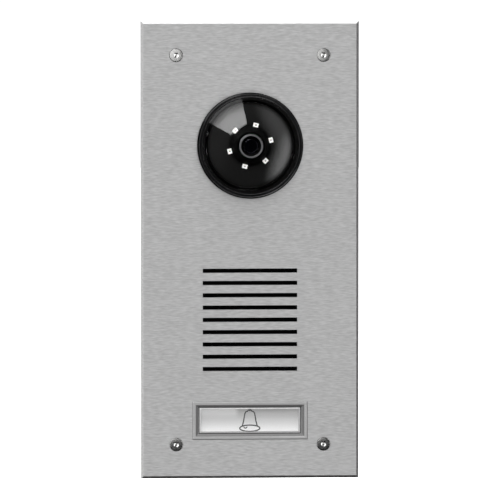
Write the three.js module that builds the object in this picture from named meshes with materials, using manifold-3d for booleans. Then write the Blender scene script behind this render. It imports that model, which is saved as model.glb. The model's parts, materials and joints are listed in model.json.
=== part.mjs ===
// Door intercom panel: a bevelled stainless front plate with a domed swivelling camera, speech slots
// and one call button, and a moulded rear housing with the electronics behind it.
// Millimetres, +Z up, X to the viewer's right. The front faces -Y and the wall surface is the plane y = 0.
import * as THREE from "three";
import { mergeVertices } from "three/addons/utils/BufferGeometryUtils.js";
import Module from "manifold-3d";

const wasm = await Module();
wasm.setup();

// ---------- Driving dimensions ----------
const TOUCH_GAP = 0.1; // left between two pieces that bear on each other

const PLATE = { width: 136, height: 285, front: -4.5, back: -1.5, chamfer: 1.6 };
const SEAL = { width: 134, height: 283, band: 8, back: 0 };

const SCREW = { x: 46, z: 121.3, headRadius: 4, shankRadius: 1.9, tip: 20 };
const SCREW_RECESS = { radius: 1.95, depth: 1.5, pinRadius: 0.55 };
const COUNTERSINK = { gap: 0.25, edge: 0.3, depth: 2.3, holeRadius: 2.3 };

const SLOT = { count: 9, width: 59, height: 2.65, topZ: -12.9, pitch: 7.66 };

const CAMERA_Z = 65.1;
const BEZEL = { radius: 33, front: -10.2, tubeOuter: 31.4, tubeInner: 29.8, end: 10.4 };
const PLATE_HOLE_RADIUS = 31.7;
const DOME = { outerRadius: 38.3, rimRadius: 30, rimY: -10, wall: 2, flangeBack: -7.3 };
const HEAD = { radius: 26.4, face: -8.5, pivotY: 4.2, back: 11.5, wall: 1.2, roll: -15 };
const LED = { count: 6, ring: 13.3, long: 3.1, short: 2.5, front: -8.3, back: -6.05 };
const LENS = { base: 12, ringOuter: 7.5, ringInner: 6.2, front: -15, bore: 8.2 };
const MARK = { ring: 23.9, radius: 2.35, depth: 0.35 };
const SWIVEL = { outer: 29.5, inner: 27.5, front: 0.2, back: 8.2 };
const SWIVEL_LIP = { inner: 26.85, front: 3.9, back: 4.5 }; // keeps light out of the gap around the head
const PIN_RADIUS = 1.5;

const SPEAKER = { z: -39, radius: 28.5, flangeFront: 2.2 };
const CLOTH = { halfWidth: 33, high: -8.5, low: -78.5, thickness: 0.4 };
const GASKET_LOW = -70;
const MIC = { x: 20, z: -74.2, radius: 3, back: 4.7 };

const BUTTON_Z = -106.4;
const FRAME = { width: 72, height: 23.8, front: -4.8, lip: 2.1, slope: 1.9, fall: 1.1, clearance: 0.4 };
const FRAME_FLANGE = { width: 76, height: 28, back: 0.4 };
const SLEEVE_WALL = 2.3; // around the cap, behind the frame
const CAP = { width: 62.9, height: 15.8, front: -4.4, back: -0.6, gap: 0.35, wall: 0.7 };
const LABEL_MARGIN = 1; // from the cap's outside to the label's edge
const BUTTON_TRAVEL = 1.2; // pressed in from rest until the cap's carrier stops
const CARRIER = { front: -1.9, flangeFront: 5.2, back: 6.2 };
const BUTTON_BOARD = { front: 13, back: 14.6 };

const HOUSING = { halfWidth: 42, low: -124, high: 106, wall: 2, front: -1.3, back: 34 };
const STUD = { x: 48, z: [-62, 62], radius: 1.45, tip: 7.5 };
const EAR = { width: 13, height: 14, thickness: 2.4 };

const RIB = { halfWidth: 30, halfHeight: 0.8, proud: 1, z: [-100, -60, 50, 88] };
const VENT = { count: 7, pitch: 8, halfWidth: 1.5, low: 58, high: 80 };

const BOARD = { halfWidth: 37, low: -93, high: 28, front: 22, back: 23.6 };
const BOARD_POST = { x: 32, z: [-87, 22], radius: 1.4, shoulder: 3.4 };
const BUTTON_POST = { x: 33, reach: 9.5, radius: 2.2 };
const TERMINAL = { ways: 4, pitch: 7.5, z: -8, height: 11, back: 33 };
const TERMINAL_WINDOW = { halfWidth: 19, low: -20, high: 1 };
const CABLE_ENTRY = { halfWidth: 11, low: -40, high: -22 };
const TRIMMER = { x: [-26, -14], z: 12, radius: 2.6, front: 28.2, back: 31.2, holeRadius: 3.4 };

// Flat sides that stand for a full circle, by the size of the circle.
const SIDES = { large: 40, medium: 24, small: 16, tiny: 10 };

// ---------- Solids from three.js geometry ----------
function solid(geometry) {
  geometry.deleteAttribute("normal");
  geometry.deleteAttribute("uv");
  const merged = mergeVertices(geometry, 1e-4);
  const vertProperties = merged.attributes.position.array;
  const made = new wasm.Manifold(
    new wasm.Mesh({ numProp: 3, vertProperties, triVerts: new Uint32Array(merged.index.array) }),
  );
  if (made.volume() > 0) return made;
  const triVerts = new Uint32Array(merged.index.array).reverse();
  return new wasm.Manifold(new wasm.Mesh({ numProp: 3, vertProperties, triVerts }));
}

function box(x0, x1, y0, y1, z0, z1) {
  const geometry = new THREE.BoxGeometry(x1 - x0, y1 - y0, z1 - z0);
  geometry.translate((x0 + x1) / 2, (y0 + y1) / 2, (z0 + z1) / 2);
  return solid(geometry);
}

// A cylinder along Y, from y0 to y1.
function rod(radius, y0, y1, x = 0, z = 0, segments = SIDES.small) {
  const geometry = new THREE.CylinderGeometry(radius, radius, y1 - y0, segments);
  geometry.translate(x, (y0 + y1) / 2, z);
  return solid(geometry);
}

// A closed profile of [radius, y] corners turned about the Y axis.
function turned(profile, x = 0, z = 0, segments = SIDES.medium) {
  const points = profile.map(([radius, y]) => new THREE.Vector2(radius, y));
  const onAxis = profile[0][0] === 0 && profile.at(-1)[0] === 0;
  if (!onAxis) points.push(points[0].clone());
  const geometry = new THREE.LatheGeometry(points, segments);
  geometry.translate(x, 0, z);
  return solid(geometry);
}

function ring(outer, inner, y0, y1, x = 0, z = 0, segments = SIDES.medium) {
  const profile = [[inner, y0], [outer, y0], [outer, y1], [inner, y1]];
  return turned(profile, x, z, segments);
}

// An outline in X and Z, drawn out along Y from y0 to y1.
function drawn(shape, y0, y1, curveSegments = 12) {
  const geometry = new THREE.ExtrudeGeometry(shape, {
    depth: y1 - y0,
    bevelEnabled: false,
    curveSegments,
  });
  geometry.rotateX(Math.PI / 2);
  geometry.translate(0, y1, 0);
  return solid(geometry);
}

// A rectangle in X and Z about a centre, with round corners if a radius is given.
function rectangle(width, height, x = 0, z = 0, radius = 0) {
  const [left, right] = [x - width / 2, x + width / 2];
  const [low, high] = [z - height / 2, z + height / 2];
  const shape = new THREE.Shape();
  shape.moveTo(left + radius, low);
  shape.lineTo(right - radius, low);
  if (radius) shape.absarc(right - radius, low + radius, radius, -Math.PI / 2, 0, false);
  shape.lineTo(right, high - radius);
  if (radius) shape.absarc(right - radius, high - radius, radius, 0, Math.PI / 2, false);
  shape.lineTo(left + radius, high);
  if (radius) shape.absarc(left + radius, high - radius, radius, Math.PI / 2, Math.PI, false);
  shape.lineTo(left, low + radius);
  if (radius) shape.absarc(left + radius, low + radius, radius, Math.PI, 1.5 * Math.PI, false);
  return shape;
}

function rectangularRing(outer, inner, y0, y1) {
  return drawn(outer, y0, y1, 4).subtract(drawn(inner, y0 - 1, y1 + 1, 4));
}

// A slab whose front edges slope at 45 degrees, mitred at the corners.
function bevelledSlab(width, height, front, back, bevel, z = 0) {
  const depth = back - front;
  const geometry = new THREE.ExtrudeGeometry(rectangle(width, height), {
    depth,
    bevelSize: bevel,
    bevelThickness: bevel,
    bevelOffset: -bevel,
    bevelSegments: 1,
  });
  geometry.rotateX(Math.PI / 2);
  geometry.translate(0, front + bevel + depth, z);
  const rear = box(-width, width, back, back + 2 * depth + 2 * bevel, z - height, z + height);
  return solid(geometry).subtract(rear);
}

// Turns a solid about the Y axis through a point of the XZ plane; counterclockwise for the viewer.
function rolled(made, degrees, x = 0, z = 0) {
  return made.translate([-x, 0, -z]).rotate([0, -degrees, 0]).translate([x, 0, z]);
}

function joined(pieces) {
  return pieces.reduce((whole, piece) => whole.add(piece));
}

function without(whole, cuts) {
  return cuts.reduce((rest, cut) => rest.subtract(cut), whole);
}

// Every combination of a left or right side with a height.
function pairs(x, heights) {
  return heights.flatMap((z) => [[-x, z], [x, z]]);
}

const slotHeights = Array.from({ length: SLOT.count }, (_, i) => SLOT.topZ - i * SLOT.pitch);
const screwPlaces = pairs(SCREW.x, [SCREW.z, -SCREW.z]);
const studPlaces = pairs(STUD.x, STUD.z);

// ---------- Front plate and its fixings ----------
function frontPlate() {
  const { width, height, front, back, chamfer } = PLATE;
  const slab = bevelledSlab(width, height, front, back, chamfer);
  const cameraHole = rod(PLATE_HOLE_RADIUS, front - 1, back + 1, 0, CAMERA_Z, SIDES.large);
  const slots = slotHeights.map((z) =>
    box(-SLOT.width / 2, SLOT.width / 2, front - 1, back + 1, z - SLOT.height / 2, z + SLOT.height / 2),
  );
  const cutOut = drawn(rectangle(FRAME.width, FRAME.height, 0, BUTTON_Z), front - 1, back + 1);
  const { gap, edge, depth, holeRadius } = COUNTERSINK;
  const mouth = SCREW.headRadius + gap;
  const sinkProfile = [
    [0, front - 1], [mouth, front - 1], [mouth, front + edge],
    [holeRadius, front + depth], [holeRadius, 0], [0, 0],
  ];
  const sinks = screwPlaces.map(([x, z]) => turned(sinkProfile, x, z));
  const studs = studPlaces.map(([x, z]) => rod(STUD.radius, back - 1, STUD.tip, x, z, SIDES.tiny));
  return without(slab, [cameraHole, ...slots, cutOut, ...sinks]).add(joined(studs));
}

function plateSeal() {
  const { width, height, band, back } = SEAL;
  return rectangularRing(
    rectangle(width, height, 0, 0, 2),
    rectangle(width - 2 * band, height - 2 * band, 0, 0, 3),
    PLATE.back + TOUCH_GAP,
    back,
  );
}

function plateScrew(x, z) {
  const { headRadius, shankRadius, tip } = SCREW;
  const front = PLATE.front + 0.1;
  const body = turned(
    [
      [0, front], [headRadius - 0.15, front], [headRadius, front + 0.2], [shankRadius, front + 2.2],
      [shankRadius, tip - 1.2], [0.9, tip], [0, tip],
    ],
    x,
    z,
    SIDES.small,
  );
  const floor = front + SCREW_RECESS.depth;
  const socket = turned(
    [[SCREW_RECESS.pinRadius, front - 1], [SCREW_RECESS.radius, front - 1],
      [SCREW_RECESS.radius, floor], [SCREW_RECESS.pinRadius, floor]],
    x,
    z,
    SIDES.tiny,
  );
  return body.subtract(socket);
}

// ---------- Camera: fixed pieces ----------
function cameraBezel() {
  const { radius, front, tubeOuter, tubeInner, end } = BEZEL;
  const seat = DOME.flangeBack + 0.7;
  const flangeBack = PLATE.front - 0.7;
  return turned(
    [
      [tubeInner, end], [tubeInner - 1, end], [tubeInner - 1, SWIVEL.back + 0.2],
      [tubeInner, SWIVEL.back + 0.2], [tubeInner, seat],
      [DOME.rimRadius + 0.2, seat], [DOME.rimRadius + 0.2, front], [DOME.rimRadius + 1.2, front],
      [radius - 0.7, front + 0.5], [radius, front + 1.9], [radius, flangeBack],
      [tubeOuter, flangeBack], [tubeOuter, end],
    ],
    0,
    CAMERA_Z,
    SIDES.large,
  );
}

function bezelSeal() {
  const outer = BEZEL.radius - 0.3;
  const inner = PLATE_HOLE_RADIUS - 0.1;
  const front = PLATE.front - 0.7 + TOUCH_GAP;
  return ring(outer, inner, front, PLATE.front - TOUCH_GAP, 0, CAMERA_Z, SIDES.large);
}

const BEZEL_NUT = { outer: 35.6, back: 2.6, notches: 6 };

function bezelNut() {
  const { outer, back } = BEZEL_NUT;
  const front = PLATE.back + TOUCH_GAP;
  const whole = ring(outer, BEZEL.tubeOuter + 0.12, front, back, 0, CAMERA_Z, SIDES.large);
  const notch = box(outer - 1.6, outer + 1, front - 1, back + 1, CAMERA_Z - 2.5, CAMERA_Z + 2.5);
  const notches = Array.from({ length: BEZEL_NUT.notches }, (_, i) =>
    rolled(notch, (360 / BEZEL_NUT.notches) * i, 0, CAMERA_Z),
  );
  return without(whole, notches);
}

// The sphere's centre lies on the axis, behind the rim.
const domeCentreY = DOME.rimY + Math.sqrt(DOME.outerRadius ** 2 - DOME.rimRadius ** 2);

function domeArc(radius, rim, steps) {
  const last = Math.asin(rim / radius);
  return Array.from({ length: steps + 1 }, (_, i) => {
    const angle = (last * i) / steps;
    return [radius * Math.sin(angle), domeCentreY - radius * Math.cos(angle)];
  });
}

function cameraDome() {
  const innerRadius = DOME.outerRadius - DOME.wall;
  const inside = domeArc(innerRadius, DOME.rimRadius - DOME.wall, 5);
  const outside = domeArc(DOME.outerRadius, DOME.rimRadius, 5);
  const skirt = [[DOME.rimRadius, DOME.flangeBack], [DOME.rimRadius - DOME.wall, DOME.flangeBack]];
  return turned([...outside, ...skirt, ...inside.reverse()], 0, CAMERA_Z, SIDES.large);
}

function domeSeal() {
  return ring(
    DOME.rimRadius,
    DOME.rimRadius - DOME.wall + 0.3,
    DOME.flangeBack + TOUCH_GAP,
    DOME.flangeBack + 0.6,
    0,
    CAMERA_Z,
    SIDES.large,
  );
}

// A thin sleeve between the dome's seat and the swivel ring keeps the ring in place.
function swivelKeeper() {
  const front = DOME.flangeBack + 0.8;
  const back = SWIVEL.front - TOUCH_GAP;
  return ring(BEZEL.tubeInner - 0.1, BEZEL.tubeInner - 1, front, back, 0, CAMERA_Z, SIDES.large);
}

// ---------- Camera: swivel ring and tilting head ----------
// A rod along X at the tilt axis's height, rolled to the axis's direction.
function acrossTilt(radius, from, to, segments = SIDES.small) {
  const geometry = new THREE.CylinderGeometry(radius, radius, to - from, segments);
  geometry.rotateZ(Math.PI / 2);
  geometry.translate((from + to) / 2, HEAD.pivotY, CAMERA_Z);
  return rolled(solid(geometry), HEAD.roll, 0, CAMERA_Z);
}

function swivelRing() {
  const { outer, inner, front, back } = SWIVEL;
  const band = ring(outer, inner, front, back, 0, CAMERA_Z, SIDES.large);
  const { inner: lipInner, front: lipFront, back: lipBack } = SWIVEL_LIP;
  const lip = ring(inner + 0.1, lipInner, lipFront, lipBack, 0, CAMERA_Z, SIDES.large);
  const bore = PIN_RADIUS + 0.03;
  return without(band.add(lip), [acrossTilt(bore, 20, 40), acrossTilt(bore, -40, -20)]);
}

function tiltPin(side) {
  const ends = [24.6, SWIVEL.outer - 0.2].map((r) => r * side);
  return acrossTilt(PIN_RADIUS - 0.05, Math.min(...ends), Math.max(...ends));
}

// A copy of a solid made at +X from the camera's axis, turned to an angle about that axis.
function aroundCamera(made, degrees) {
  return rolled(made, degrees, 0, CAMERA_Z);
}

const ledAngles = Array.from({ length: LED.count }, (_, i) => HEAD.roll + 30 + (360 / LED.count) * i);
const markAngles = Array.from({ length: 4 }, (_, i) => HEAD.roll + 90 * i);

function ledBlock(margin, front, back) {
  const halfShort = LED.short / 2 + margin;
  const halfLong = LED.long / 2 + margin;
  const [low, high] = [CAMERA_Z - halfLong, CAMERA_Z + halfLong];
  return box(LED.ring - halfShort, LED.ring + halfShort, front, back, low, high);
}

function cameraHead() {
  const { radius, face, back, wall } = HEAD;
  const shell = turned(
    [
      [LENS.bore, face], [radius - 0.4, face], [radius, face + 0.4], [radius, back],
      [radius - wall, back], [radius - wall, face + 1.5], [LENS.bore, face + 1.5],
    ],
    0,
    CAMERA_Z,
    SIDES.large,
  );
  const windows = ledAngles.map((angle) => aroundCamera(ledBlock(0.25, face - 1, face + 3), angle));
  const marks = markAngles.map((angle) =>
    aroundCamera(rod(MARK.radius, face - 1, face + MARK.depth, MARK.ring, CAMERA_Z), angle),
  );
  const bores = [acrossTilt(PIN_RADIUS + 0.05, 20, 40), acrossTilt(PIN_RADIUS + 0.05, -40, -20)];
  return without(shell, [...windows, ...marks, ...bores]);
}

function ledBoard() {
  return ring(23.8, LENS.bore, LED.back + TOUCH_GAP, LED.back + 1.7, 0, CAMERA_Z);
}

function led(angle) {
  const body = ledBlock(0, LED.front, LED.back);
  const { front } = LED;
  const wellFloor = front + 0.35;
  const well = turned(
    [[0, front - 1], [1, front - 1], [1, front], [0.75, wellFloor], [0, wellFloor]],
    LED.ring,
    CAMERA_Z,
    SIDES.tiny,
  );
  return aroundCamera(body.subtract(well), angle);
}

// The black skirt on the disc that the lens stands in.
function lensBase() {
  const foot = HEAD.face - TOUCH_GAP;
  return turned(
    [
      [LENS.bore - 0.2, foot], [LENS.base - 1.6, foot], [LENS.base - 1.6, foot - 0.5],
      [LENS.bore + 1.6, foot - 3.6], [LENS.bore + 0.9, foot - 4.2], [LENS.bore - 0.2, foot - 4.2],
    ],
    0,
    CAMERA_Z,
  );
}

function lensBarrel() {
  const step = LENS.front + 0.9;
  return turned(
    [
      [LENS.ringInner - 0.1, step + 0.1], [LENS.ringOuter - 0.2, step + 0.1], [LENS.ringOuter - 0.2, -9.5],
      [LENS.ringOuter - 0.2, -3.5], [6.2, -3.5], [6.2, -0.6], [3.6, -0.6],
      [3.6, -10.2], [5.3, -10.2], [5.3, step + 1.6],
    ],
    0,
    CAMERA_Z,
  );
}

function lensRing() {
  const { ringOuter, ringInner, front } = LENS;
  return turned(
    [[ringInner, front + 0.5], [ringInner + 0.3, front], [ringOuter - 0.3, front],
      [ringOuter, front + 0.3], [ringOuter, front + 0.9], [ringInner, front + 0.9]],
    0,
    CAMERA_Z,
  );
}

function lensGlass() {
  const crown = -13.2;
  const edge = -11.8;
  return turned(
    [[0, crown], [2, crown + 0.15], [3.8, crown + 0.6], [5.1, edge], [5.1, -10.4], [0, -10.4]],
    0,
    CAMERA_Z,
  );
}

function sensorBoard() {
  const half = 11;
  const board = box(-half, half, 0.2, 1.6, CAMERA_Z - half, CAMERA_Z + half);
  const sensor = box(-4, 4, -0.4, 0.3, CAMERA_Z - 3.2, CAMERA_Z + 3.2);
  const socket = box(-8, 8, 1.5, 4.2, CAMERA_Z - 9, CAMERA_Z - 5.5);
  return aroundCamera(joined([board, sensor, socket]), HEAD.roll);
}

function headCover() {
  const rim = HEAD.radius - HEAD.wall - 0.2;
  const outer = HEAD.back + 1.2;
  const cup = turned(
    [[0, outer], [HEAD.radius - 2.2, outer], [HEAD.radius - 0.6, HEAD.back + TOUCH_GAP],
      [rim, HEAD.back + TOUCH_GAP], [rim, 8.6], [rim - 1.2, 8.6], [rim - 1.2, outer - 1.6], [0, outer - 1.6]],
    0,
    CAMERA_Z,
  );
  const cableSlot = box(-9, 9, 0, outer + 1, CAMERA_Z - 13, CAMERA_Z - 7);
  return aroundCamera(cup.subtract(cableSlot), HEAD.roll);
}

// ---------- Speech unit ----------
function speakerCloth() {
  const front = PLATE.back + TOUCH_GAP;
  return box(-CLOTH.halfWidth, CLOTH.halfWidth, front, front + CLOTH.thickness, CLOTH.low, CLOTH.high);
}

function speakerGasket() {
  const front = PLATE.back + CLOTH.thickness + 2 * TOUCH_GAP;
  const back = SPEAKER.flangeFront - TOUCH_GAP;
  const block = box(-CLOTH.halfWidth, CLOTH.halfWidth, front, back, GASKET_LOW, CLOTH.high);
  return block.subtract(rod(SPEAKER.radius - 3, front - 1, back + 1, 0, SPEAKER.z, SIDES.medium));
}

function speakerFrame() {
  const { radius, flangeFront: front, z } = SPEAKER;
  const basket = turned(
    [
      [radius - 3, front], [radius, front], [radius, front + 1.2], [radius - 2, front + 1.2],
      [15, front + 9], [15, front + 10.5], [8.5, front + 10.5], [8.5, front + 8.9],
      [14, front + 8.4], [radius - 3.2, front + 1.6],
    ],
    0,
    z,
  );
  const windows = Array.from({ length: 4 }, (_, i) =>
    rolled(box(14.4, 24, front + 2.2, front + 8, z - 7.5, z + 7.5), 45 + 90 * i, 0, z),
  );
  return without(basket, windows);
}

function speakerCone() {
  const { radius, flangeFront: front, z } = SPEAKER;
  return turned(
    [
      [0, front + 4.6], [5, front + 5.4], [7.8, front + 6.8], [20, front + 2.2], [22, front + 0.4],
      [radius - 3.3, front + 0.4], [radius - 3.3, front + 1.1], [22.4, front + 1.1], [20.4, front + 2.9],
      [8, front + 7.6], [8, front + 9.6], [7.2, front + 9.6], [7.2, front + 7.4], [5, front + 6.2],
      [0, front + 5.4],
    ],
    0,
    z,
  );
}

function speakerMagnet() {
  const front = SPEAKER.flangeFront + 10.6;
  return turned(
    [
      [0, front - 1.2], [6.8, front - 1.2], [6.8, front], [14.4, front], [14.4, front + 1.4],
      [16, front + 1.8], [16, front + 6.4], [14.6, front + 7], [0, front + 7],
    ],
    0,
    SPEAKER.z,
  );
}

function microphoneBoot() {
  const front = PLATE.back + CLOTH.thickness + 2 * TOUCH_GAP;
  const block = drawn(rectangle(13, 8, MIC.x, MIC.z, 2), front, MIC.back + 1.3, 4);
  return block.subtract(rod(MIC.radius + TOUCH_GAP, front - 1, MIC.back + TOUCH_GAP, MIC.x, MIC.z));
}

function microphone() {
  const can = rod(MIC.radius, 0, MIC.back, MIC.x, MIC.z);
  const port = rod(0.7, -1, 0.6, MIC.x, MIC.z, SIDES.tiny);
  return can.subtract(port);
}

// ---------- Call button ----------
function buttonFrame() {
  const { width, height, front, lip, slope, fall, clearance } = FRAME;
  const [frontWidth, frontHeight] = [width - clearance, height - clearance];
  const face = bevelledSlab(frontWidth, frontHeight, front, PLATE.back, 0.25, BUTTON_Z);
  const flangeOutline = rectangle(FRAME_FLANGE.width, FRAME_FLANGE.height, 0, BUTTON_Z);
  const flange = drawn(flangeOutline, PLATE.back + TOUCH_GAP, FRAME_FLANGE.back, 4);
  const neck = drawn(rectangle(frontWidth, frontHeight, 0, BUTTON_Z), PLATE.back - 0.1, 0, 4);
  const sleeveOutline = rectangle(CAP.width + 2 * SLEEVE_WALL, CAP.height + 2 * SLEEVE_WALL, 0, BUTTON_Z);
  const sleeve = drawn(sleeveOutline, 0, CARRIER.flangeFront - 0.2, 4);
  const [holeWidth, holeHeight] = [CAP.width + 2 * CAP.gap, CAP.height + 2 * CAP.gap];
  const hole = drawn(rectangle(holeWidth, holeHeight, 0, BUTTON_Z), front - 1, CARRIER.back);
  const slopes = slopedOpening(width - 2 * lip, height - 2 * lip, front, slope, fall);
  return joined([face, flange, neck, sleeve]).subtract(hole).subtract(slopes);
}

// A rectangular funnel, widest at the front, whose sides narrow by the slope over the fall.
function slopedOpening(width, height, front, slope, fall) {
  const reach = 1;
  const geometry = new THREE.BoxGeometry(1, 1, 1);
  const position = geometry.attributes.position;
  for (let i = 0; i < position.count; i++) {
    const isFront = position.getY(i) < 0;
    const grow = isFront ? (slope * reach) / fall : -slope;
    position.setXYZ(
      i,
      Math.sign(position.getX(i)) * (width / 2 + grow),
      isFront ? front - reach : front + fall,
      BUTTON_Z + Math.sign(position.getZ(i)) * (height / 2 + grow),
    );
  }
  return solid(geometry);
}

function callButton() {
  const { width, height, front, back, wall } = CAP;
  const cap = bevelledSlab(width, height, front, back, 0.5, BUTTON_Z);
  const pocket = box(
    -width / 2 + wall, width / 2 - wall, front + 2, back + 1,
    BUTTON_Z - height / 2 + wall, BUTTON_Z + height / 2 - wall,
  );
  return cap.subtract(pocket);
}

function labelOutline() {
  return rectangle(CAP.width - 2 * LABEL_MARGIN, CAP.height - 2 * LABEL_MARGIN, 0, BUTTON_Z);
}

function nameLabel() {
  const front = CAP.front + 2.1;
  return drawn(labelOutline(), front, front + 0.3);
}

// Spreads the light evenly behind the label, carries the cap and stops against the frame's sleeve.
function buttonCarrier() {
  const { front, flangeFront, back } = CARRIER;
  const inside = drawn(labelOutline(), front, CAP.back + 0.2);
  const stem = drawn(rectangle(CAP.width - 0.6, CAP.height - 0.6, 0, BUTTON_Z), CAP.back + 0.1, back - 0.5);
  const flange = drawn(rectangle(CAP.width + 3, CAP.height + 3, 0, BUTTON_Z), flangeFront, back);
  const lightWell = box(-24, 24, 1.4, back + 1, BUTTON_Z - 5, BUTTON_Z + 5);
  const plungerBar = box(-3, 3, 1.3, back, BUTTON_Z - 5.1, BUTTON_Z + 5.1);
  return joined([inside, stem, flange]).subtract(lightWell).add(plungerBar);
}

const SPRING = { x: 28, radius: 2.4, wire: 0.35, turns: 5 };

class Coil extends THREE.Curve {
  constructor(x, z, y0, y1, radius, turns) {
    super();
    Object.assign(this, { x, z, y0, y1, radius, turns });
  }
  getPoint(t, target = new THREE.Vector3()) {
    const angle = 2 * Math.PI * this.turns * t;
    const y = this.y0 + (this.y1 - this.y0) * t;
    return target.set(this.x + this.radius * Math.cos(angle), y, this.z + this.radius * Math.sin(angle));
  }
}

function returnSpring(x) {
  const { radius, wire, turns } = SPRING;
  const wireEdge = wire + TOUCH_GAP;
  const path = new Coil(x, BUTTON_Z, CARRIER.back + wireEdge, BUTTON_BOARD.front - wireEdge, radius, turns);
  const section = new THREE.Shape().absarc(0, 0, wire, 0, 2 * Math.PI, false);
  return solid(
    new THREE.ExtrudeGeometry(section, { steps: turns * 9, extrudePath: path, curveSegments: 2 }),
  );
}

const SWITCH = { half: 3.1, front: 8.6, engaged: 1.3 };

function switchBody() {
  const { half, front, engaged } = SWITCH;
  const body = box(-half, half, front, BUTTON_BOARD.front - TOUCH_GAP, BUTTON_Z - half, BUTTON_Z + half);
  const wellEnd = front + engaged + BUTTON_TRAVEL + 0.4;
  return body.subtract(rod(1.8, front - 1, wellEnd, 0, BUTTON_Z));
}

function switchPlunger() {
  const front = CARRIER.back + TOUCH_GAP;
  return rod(1.6, front, SWITCH.front + SWITCH.engaged, 0, BUTTON_Z);
}

function buttonBoard() {
  const { front, back } = BUTTON_BOARD;
  const board = box(-36, 36, front, back, BUTTON_Z - 12.5, BUTTON_Z + 12.5);
  const lights = [-18, -9, 9, 18].map((x) =>
    box(x - 1.6, x + 1.6, front - 1.4, front + 0.1, BUTTON_Z - 1.4, BUTTON_Z + 1.4),
  );
  const plug = box(14, 26, back - 0.1, back + 5, BUTTON_Z - 3, BUTTON_Z + 3);
  return joined([board, ...lights, plug]);
}

// ---------- Rear housing and electronics ----------
function housing() {
  const { halfWidth, low, high, wall, front, back } = HOUSING;
  const middle = (low + high) / 2;
  const [width, height] = [2 * halfWidth, high - low];
  const shell = drawn(rectangle(width, height, 0, middle, 6), front, back, 5);
  const hollow = drawn(
    rectangle(width - 2 * wall, height - 2 * wall, 0, middle, 4),
    front - 1,
    back - wall,
    5,
  );
  const ears = studPlaces.map(([x, z]) => {
    const inner = Math.sign(x) * (halfWidth - 1);
    const outer = Math.sign(x) * (halfWidth + EAR.width - 1);
    return box(
      Math.min(inner, outer), Math.max(inner, outer), front, front + EAR.thickness,
      z - EAR.height / 2, z + EAR.height / 2,
    );
  });
  const earHoles = studPlaces.map(([x, z]) => rod(1.8, front - 1, front + 5, x, z, SIDES.tiny));
  const ribs = RIB.z.map((z) =>
    box(-RIB.halfWidth, RIB.halfWidth, back - 0.1, back + RIB.proud, z - RIB.halfHeight, z + RIB.halfHeight),
  );
  const vents = Array.from({ length: VENT.count }, (_, i) => {
    const x = (i - (VENT.count - 1) / 2) * VENT.pitch;
    return box(x - VENT.halfWidth, x + VENT.halfWidth, back - wall - 1, back + 2, VENT.low, VENT.high);
  });
  const posts = pairs(BOARD_POST.x, BOARD_POST.z).flatMap(([x, z]) => [
    rod(BOARD_POST.shoulder, BOARD.back + TOUCH_GAP, back - wall + 0.1, x, z),
    rod(BOARD_POST.radius, BOARD.front - 1.2, BOARD.back + 1, x, z, SIDES.tiny),
  ]);
  const buttonPostHeights = [BUTTON_Z - BUTTON_POST.reach, BUTTON_Z + BUTTON_POST.reach];
  const buttonPosts = pairs(BUTTON_POST.x, buttonPostHeights).map(([x, z]) =>
    rod(BUTTON_POST.radius, BUTTON_BOARD.back + TOUCH_GAP, back - wall + 0.1, x, z, SIDES.tiny),
  );
  const terminalWindow = box(
    -TERMINAL_WINDOW.halfWidth, TERMINAL_WINDOW.halfWidth, back - wall - 1, back + 2,
    TERMINAL_WINDOW.low, TERMINAL_WINDOW.high,
  );
  const entry = box(
    -CABLE_ENTRY.halfWidth, CABLE_ENTRY.halfWidth, back - wall - 1, back + 2,
    CABLE_ENTRY.low, CABLE_ENTRY.high,
  );
  const trimmerHoles = TRIMMER.x.map((x) => rod(TRIMMER.holeRadius, back - wall - 1, back + 2, x, TRIMMER.z));
  const tray = joined([shell.subtract(hollow), ...ears, ...ribs, ...posts, ...buttonPosts]);
  return without(tray, [...earHoles, ...vents, terminalWindow, entry, ...trimmerHoles]);
}

function housingNut(x, z) {
  const front = HOUSING.front + EAR.thickness + TOUCH_GAP;
  const nut = rod(3.15, front, front + 2.4, x, z, 6);
  return nut.subtract(rod(STUD.radius + 0.15, front - 1, front + 4, x, z, SIDES.tiny));
}

function mainBoard() {
  const { halfWidth, low, high, front, back } = BOARD;
  const board = box(-halfWidth, halfWidth, front, back, low, high);
  const holes = pairs(BOARD_POST.x, BOARD_POST.z).map(([x, z]) =>
    rod(BOARD_POST.radius + 0.2, front - 1, back + 1, x, z, SIDES.tiny),
  );
  const processor = box(-9, 9, back - 0.1, back + 1.4, -62, -44);
  const codec = box(16, 25, back - 0.1, back + 1.3, -60, -48);
  const chokes = [-26, -14].map((x) => box(x - 4.5, x + 4.5, back - 0.1, back + 5, -36, -27));
  const capacitors = [19, 29].map((x) => rod(4, back - 0.1, back + 7.6, x, -31));
  const ribbonSocket = box(-34, -30, back - 0.1, back + 4, -80, -56);
  return joined([without(board, holes), processor, codec, ...chokes, ...capacitors, ribbonSocket]);
}

const terminalX = Array.from(
  { length: TERMINAL.ways },
  (_, i) => (i - (TERMINAL.ways - 1) / 2) * TERMINAL.pitch,
);

function terminalBlock() {
  const { pitch, ways, z, height, back } = TERMINAL;
  const half = (pitch * ways) / 2 + 0.6;
  const front = BOARD.back + TOUCH_GAP;
  const low = z - height / 2;
  const block = box(-half, half, front, back, low, low + height);
  const wireWays = terminalX.map((x) => box(x - 1.9, x + 1.9, front + 2, front + 6, low - 1, low + 7));
  const screwWells = terminalX.map((x) => rod(2.6, front + 4, back + 1, x, z));
  return without(block, [...wireWays, ...screwWells]);
}

function terminalScrew(x) {
  const head = TERMINAL.back - 2.4;
  const screw = turned(
    [[0, 28], [1.4, 28], [1.4, head], [2.3, head], [2.3, head + 1.4], [0, head + 1.4]],
    x,
    TERMINAL.z,
    SIDES.tiny,
  );
  return screw.subtract(box(x - 3, x + 3, head + 0.7, head + 3, TERMINAL.z - 0.35, TERMINAL.z + 0.35));
}

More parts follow.
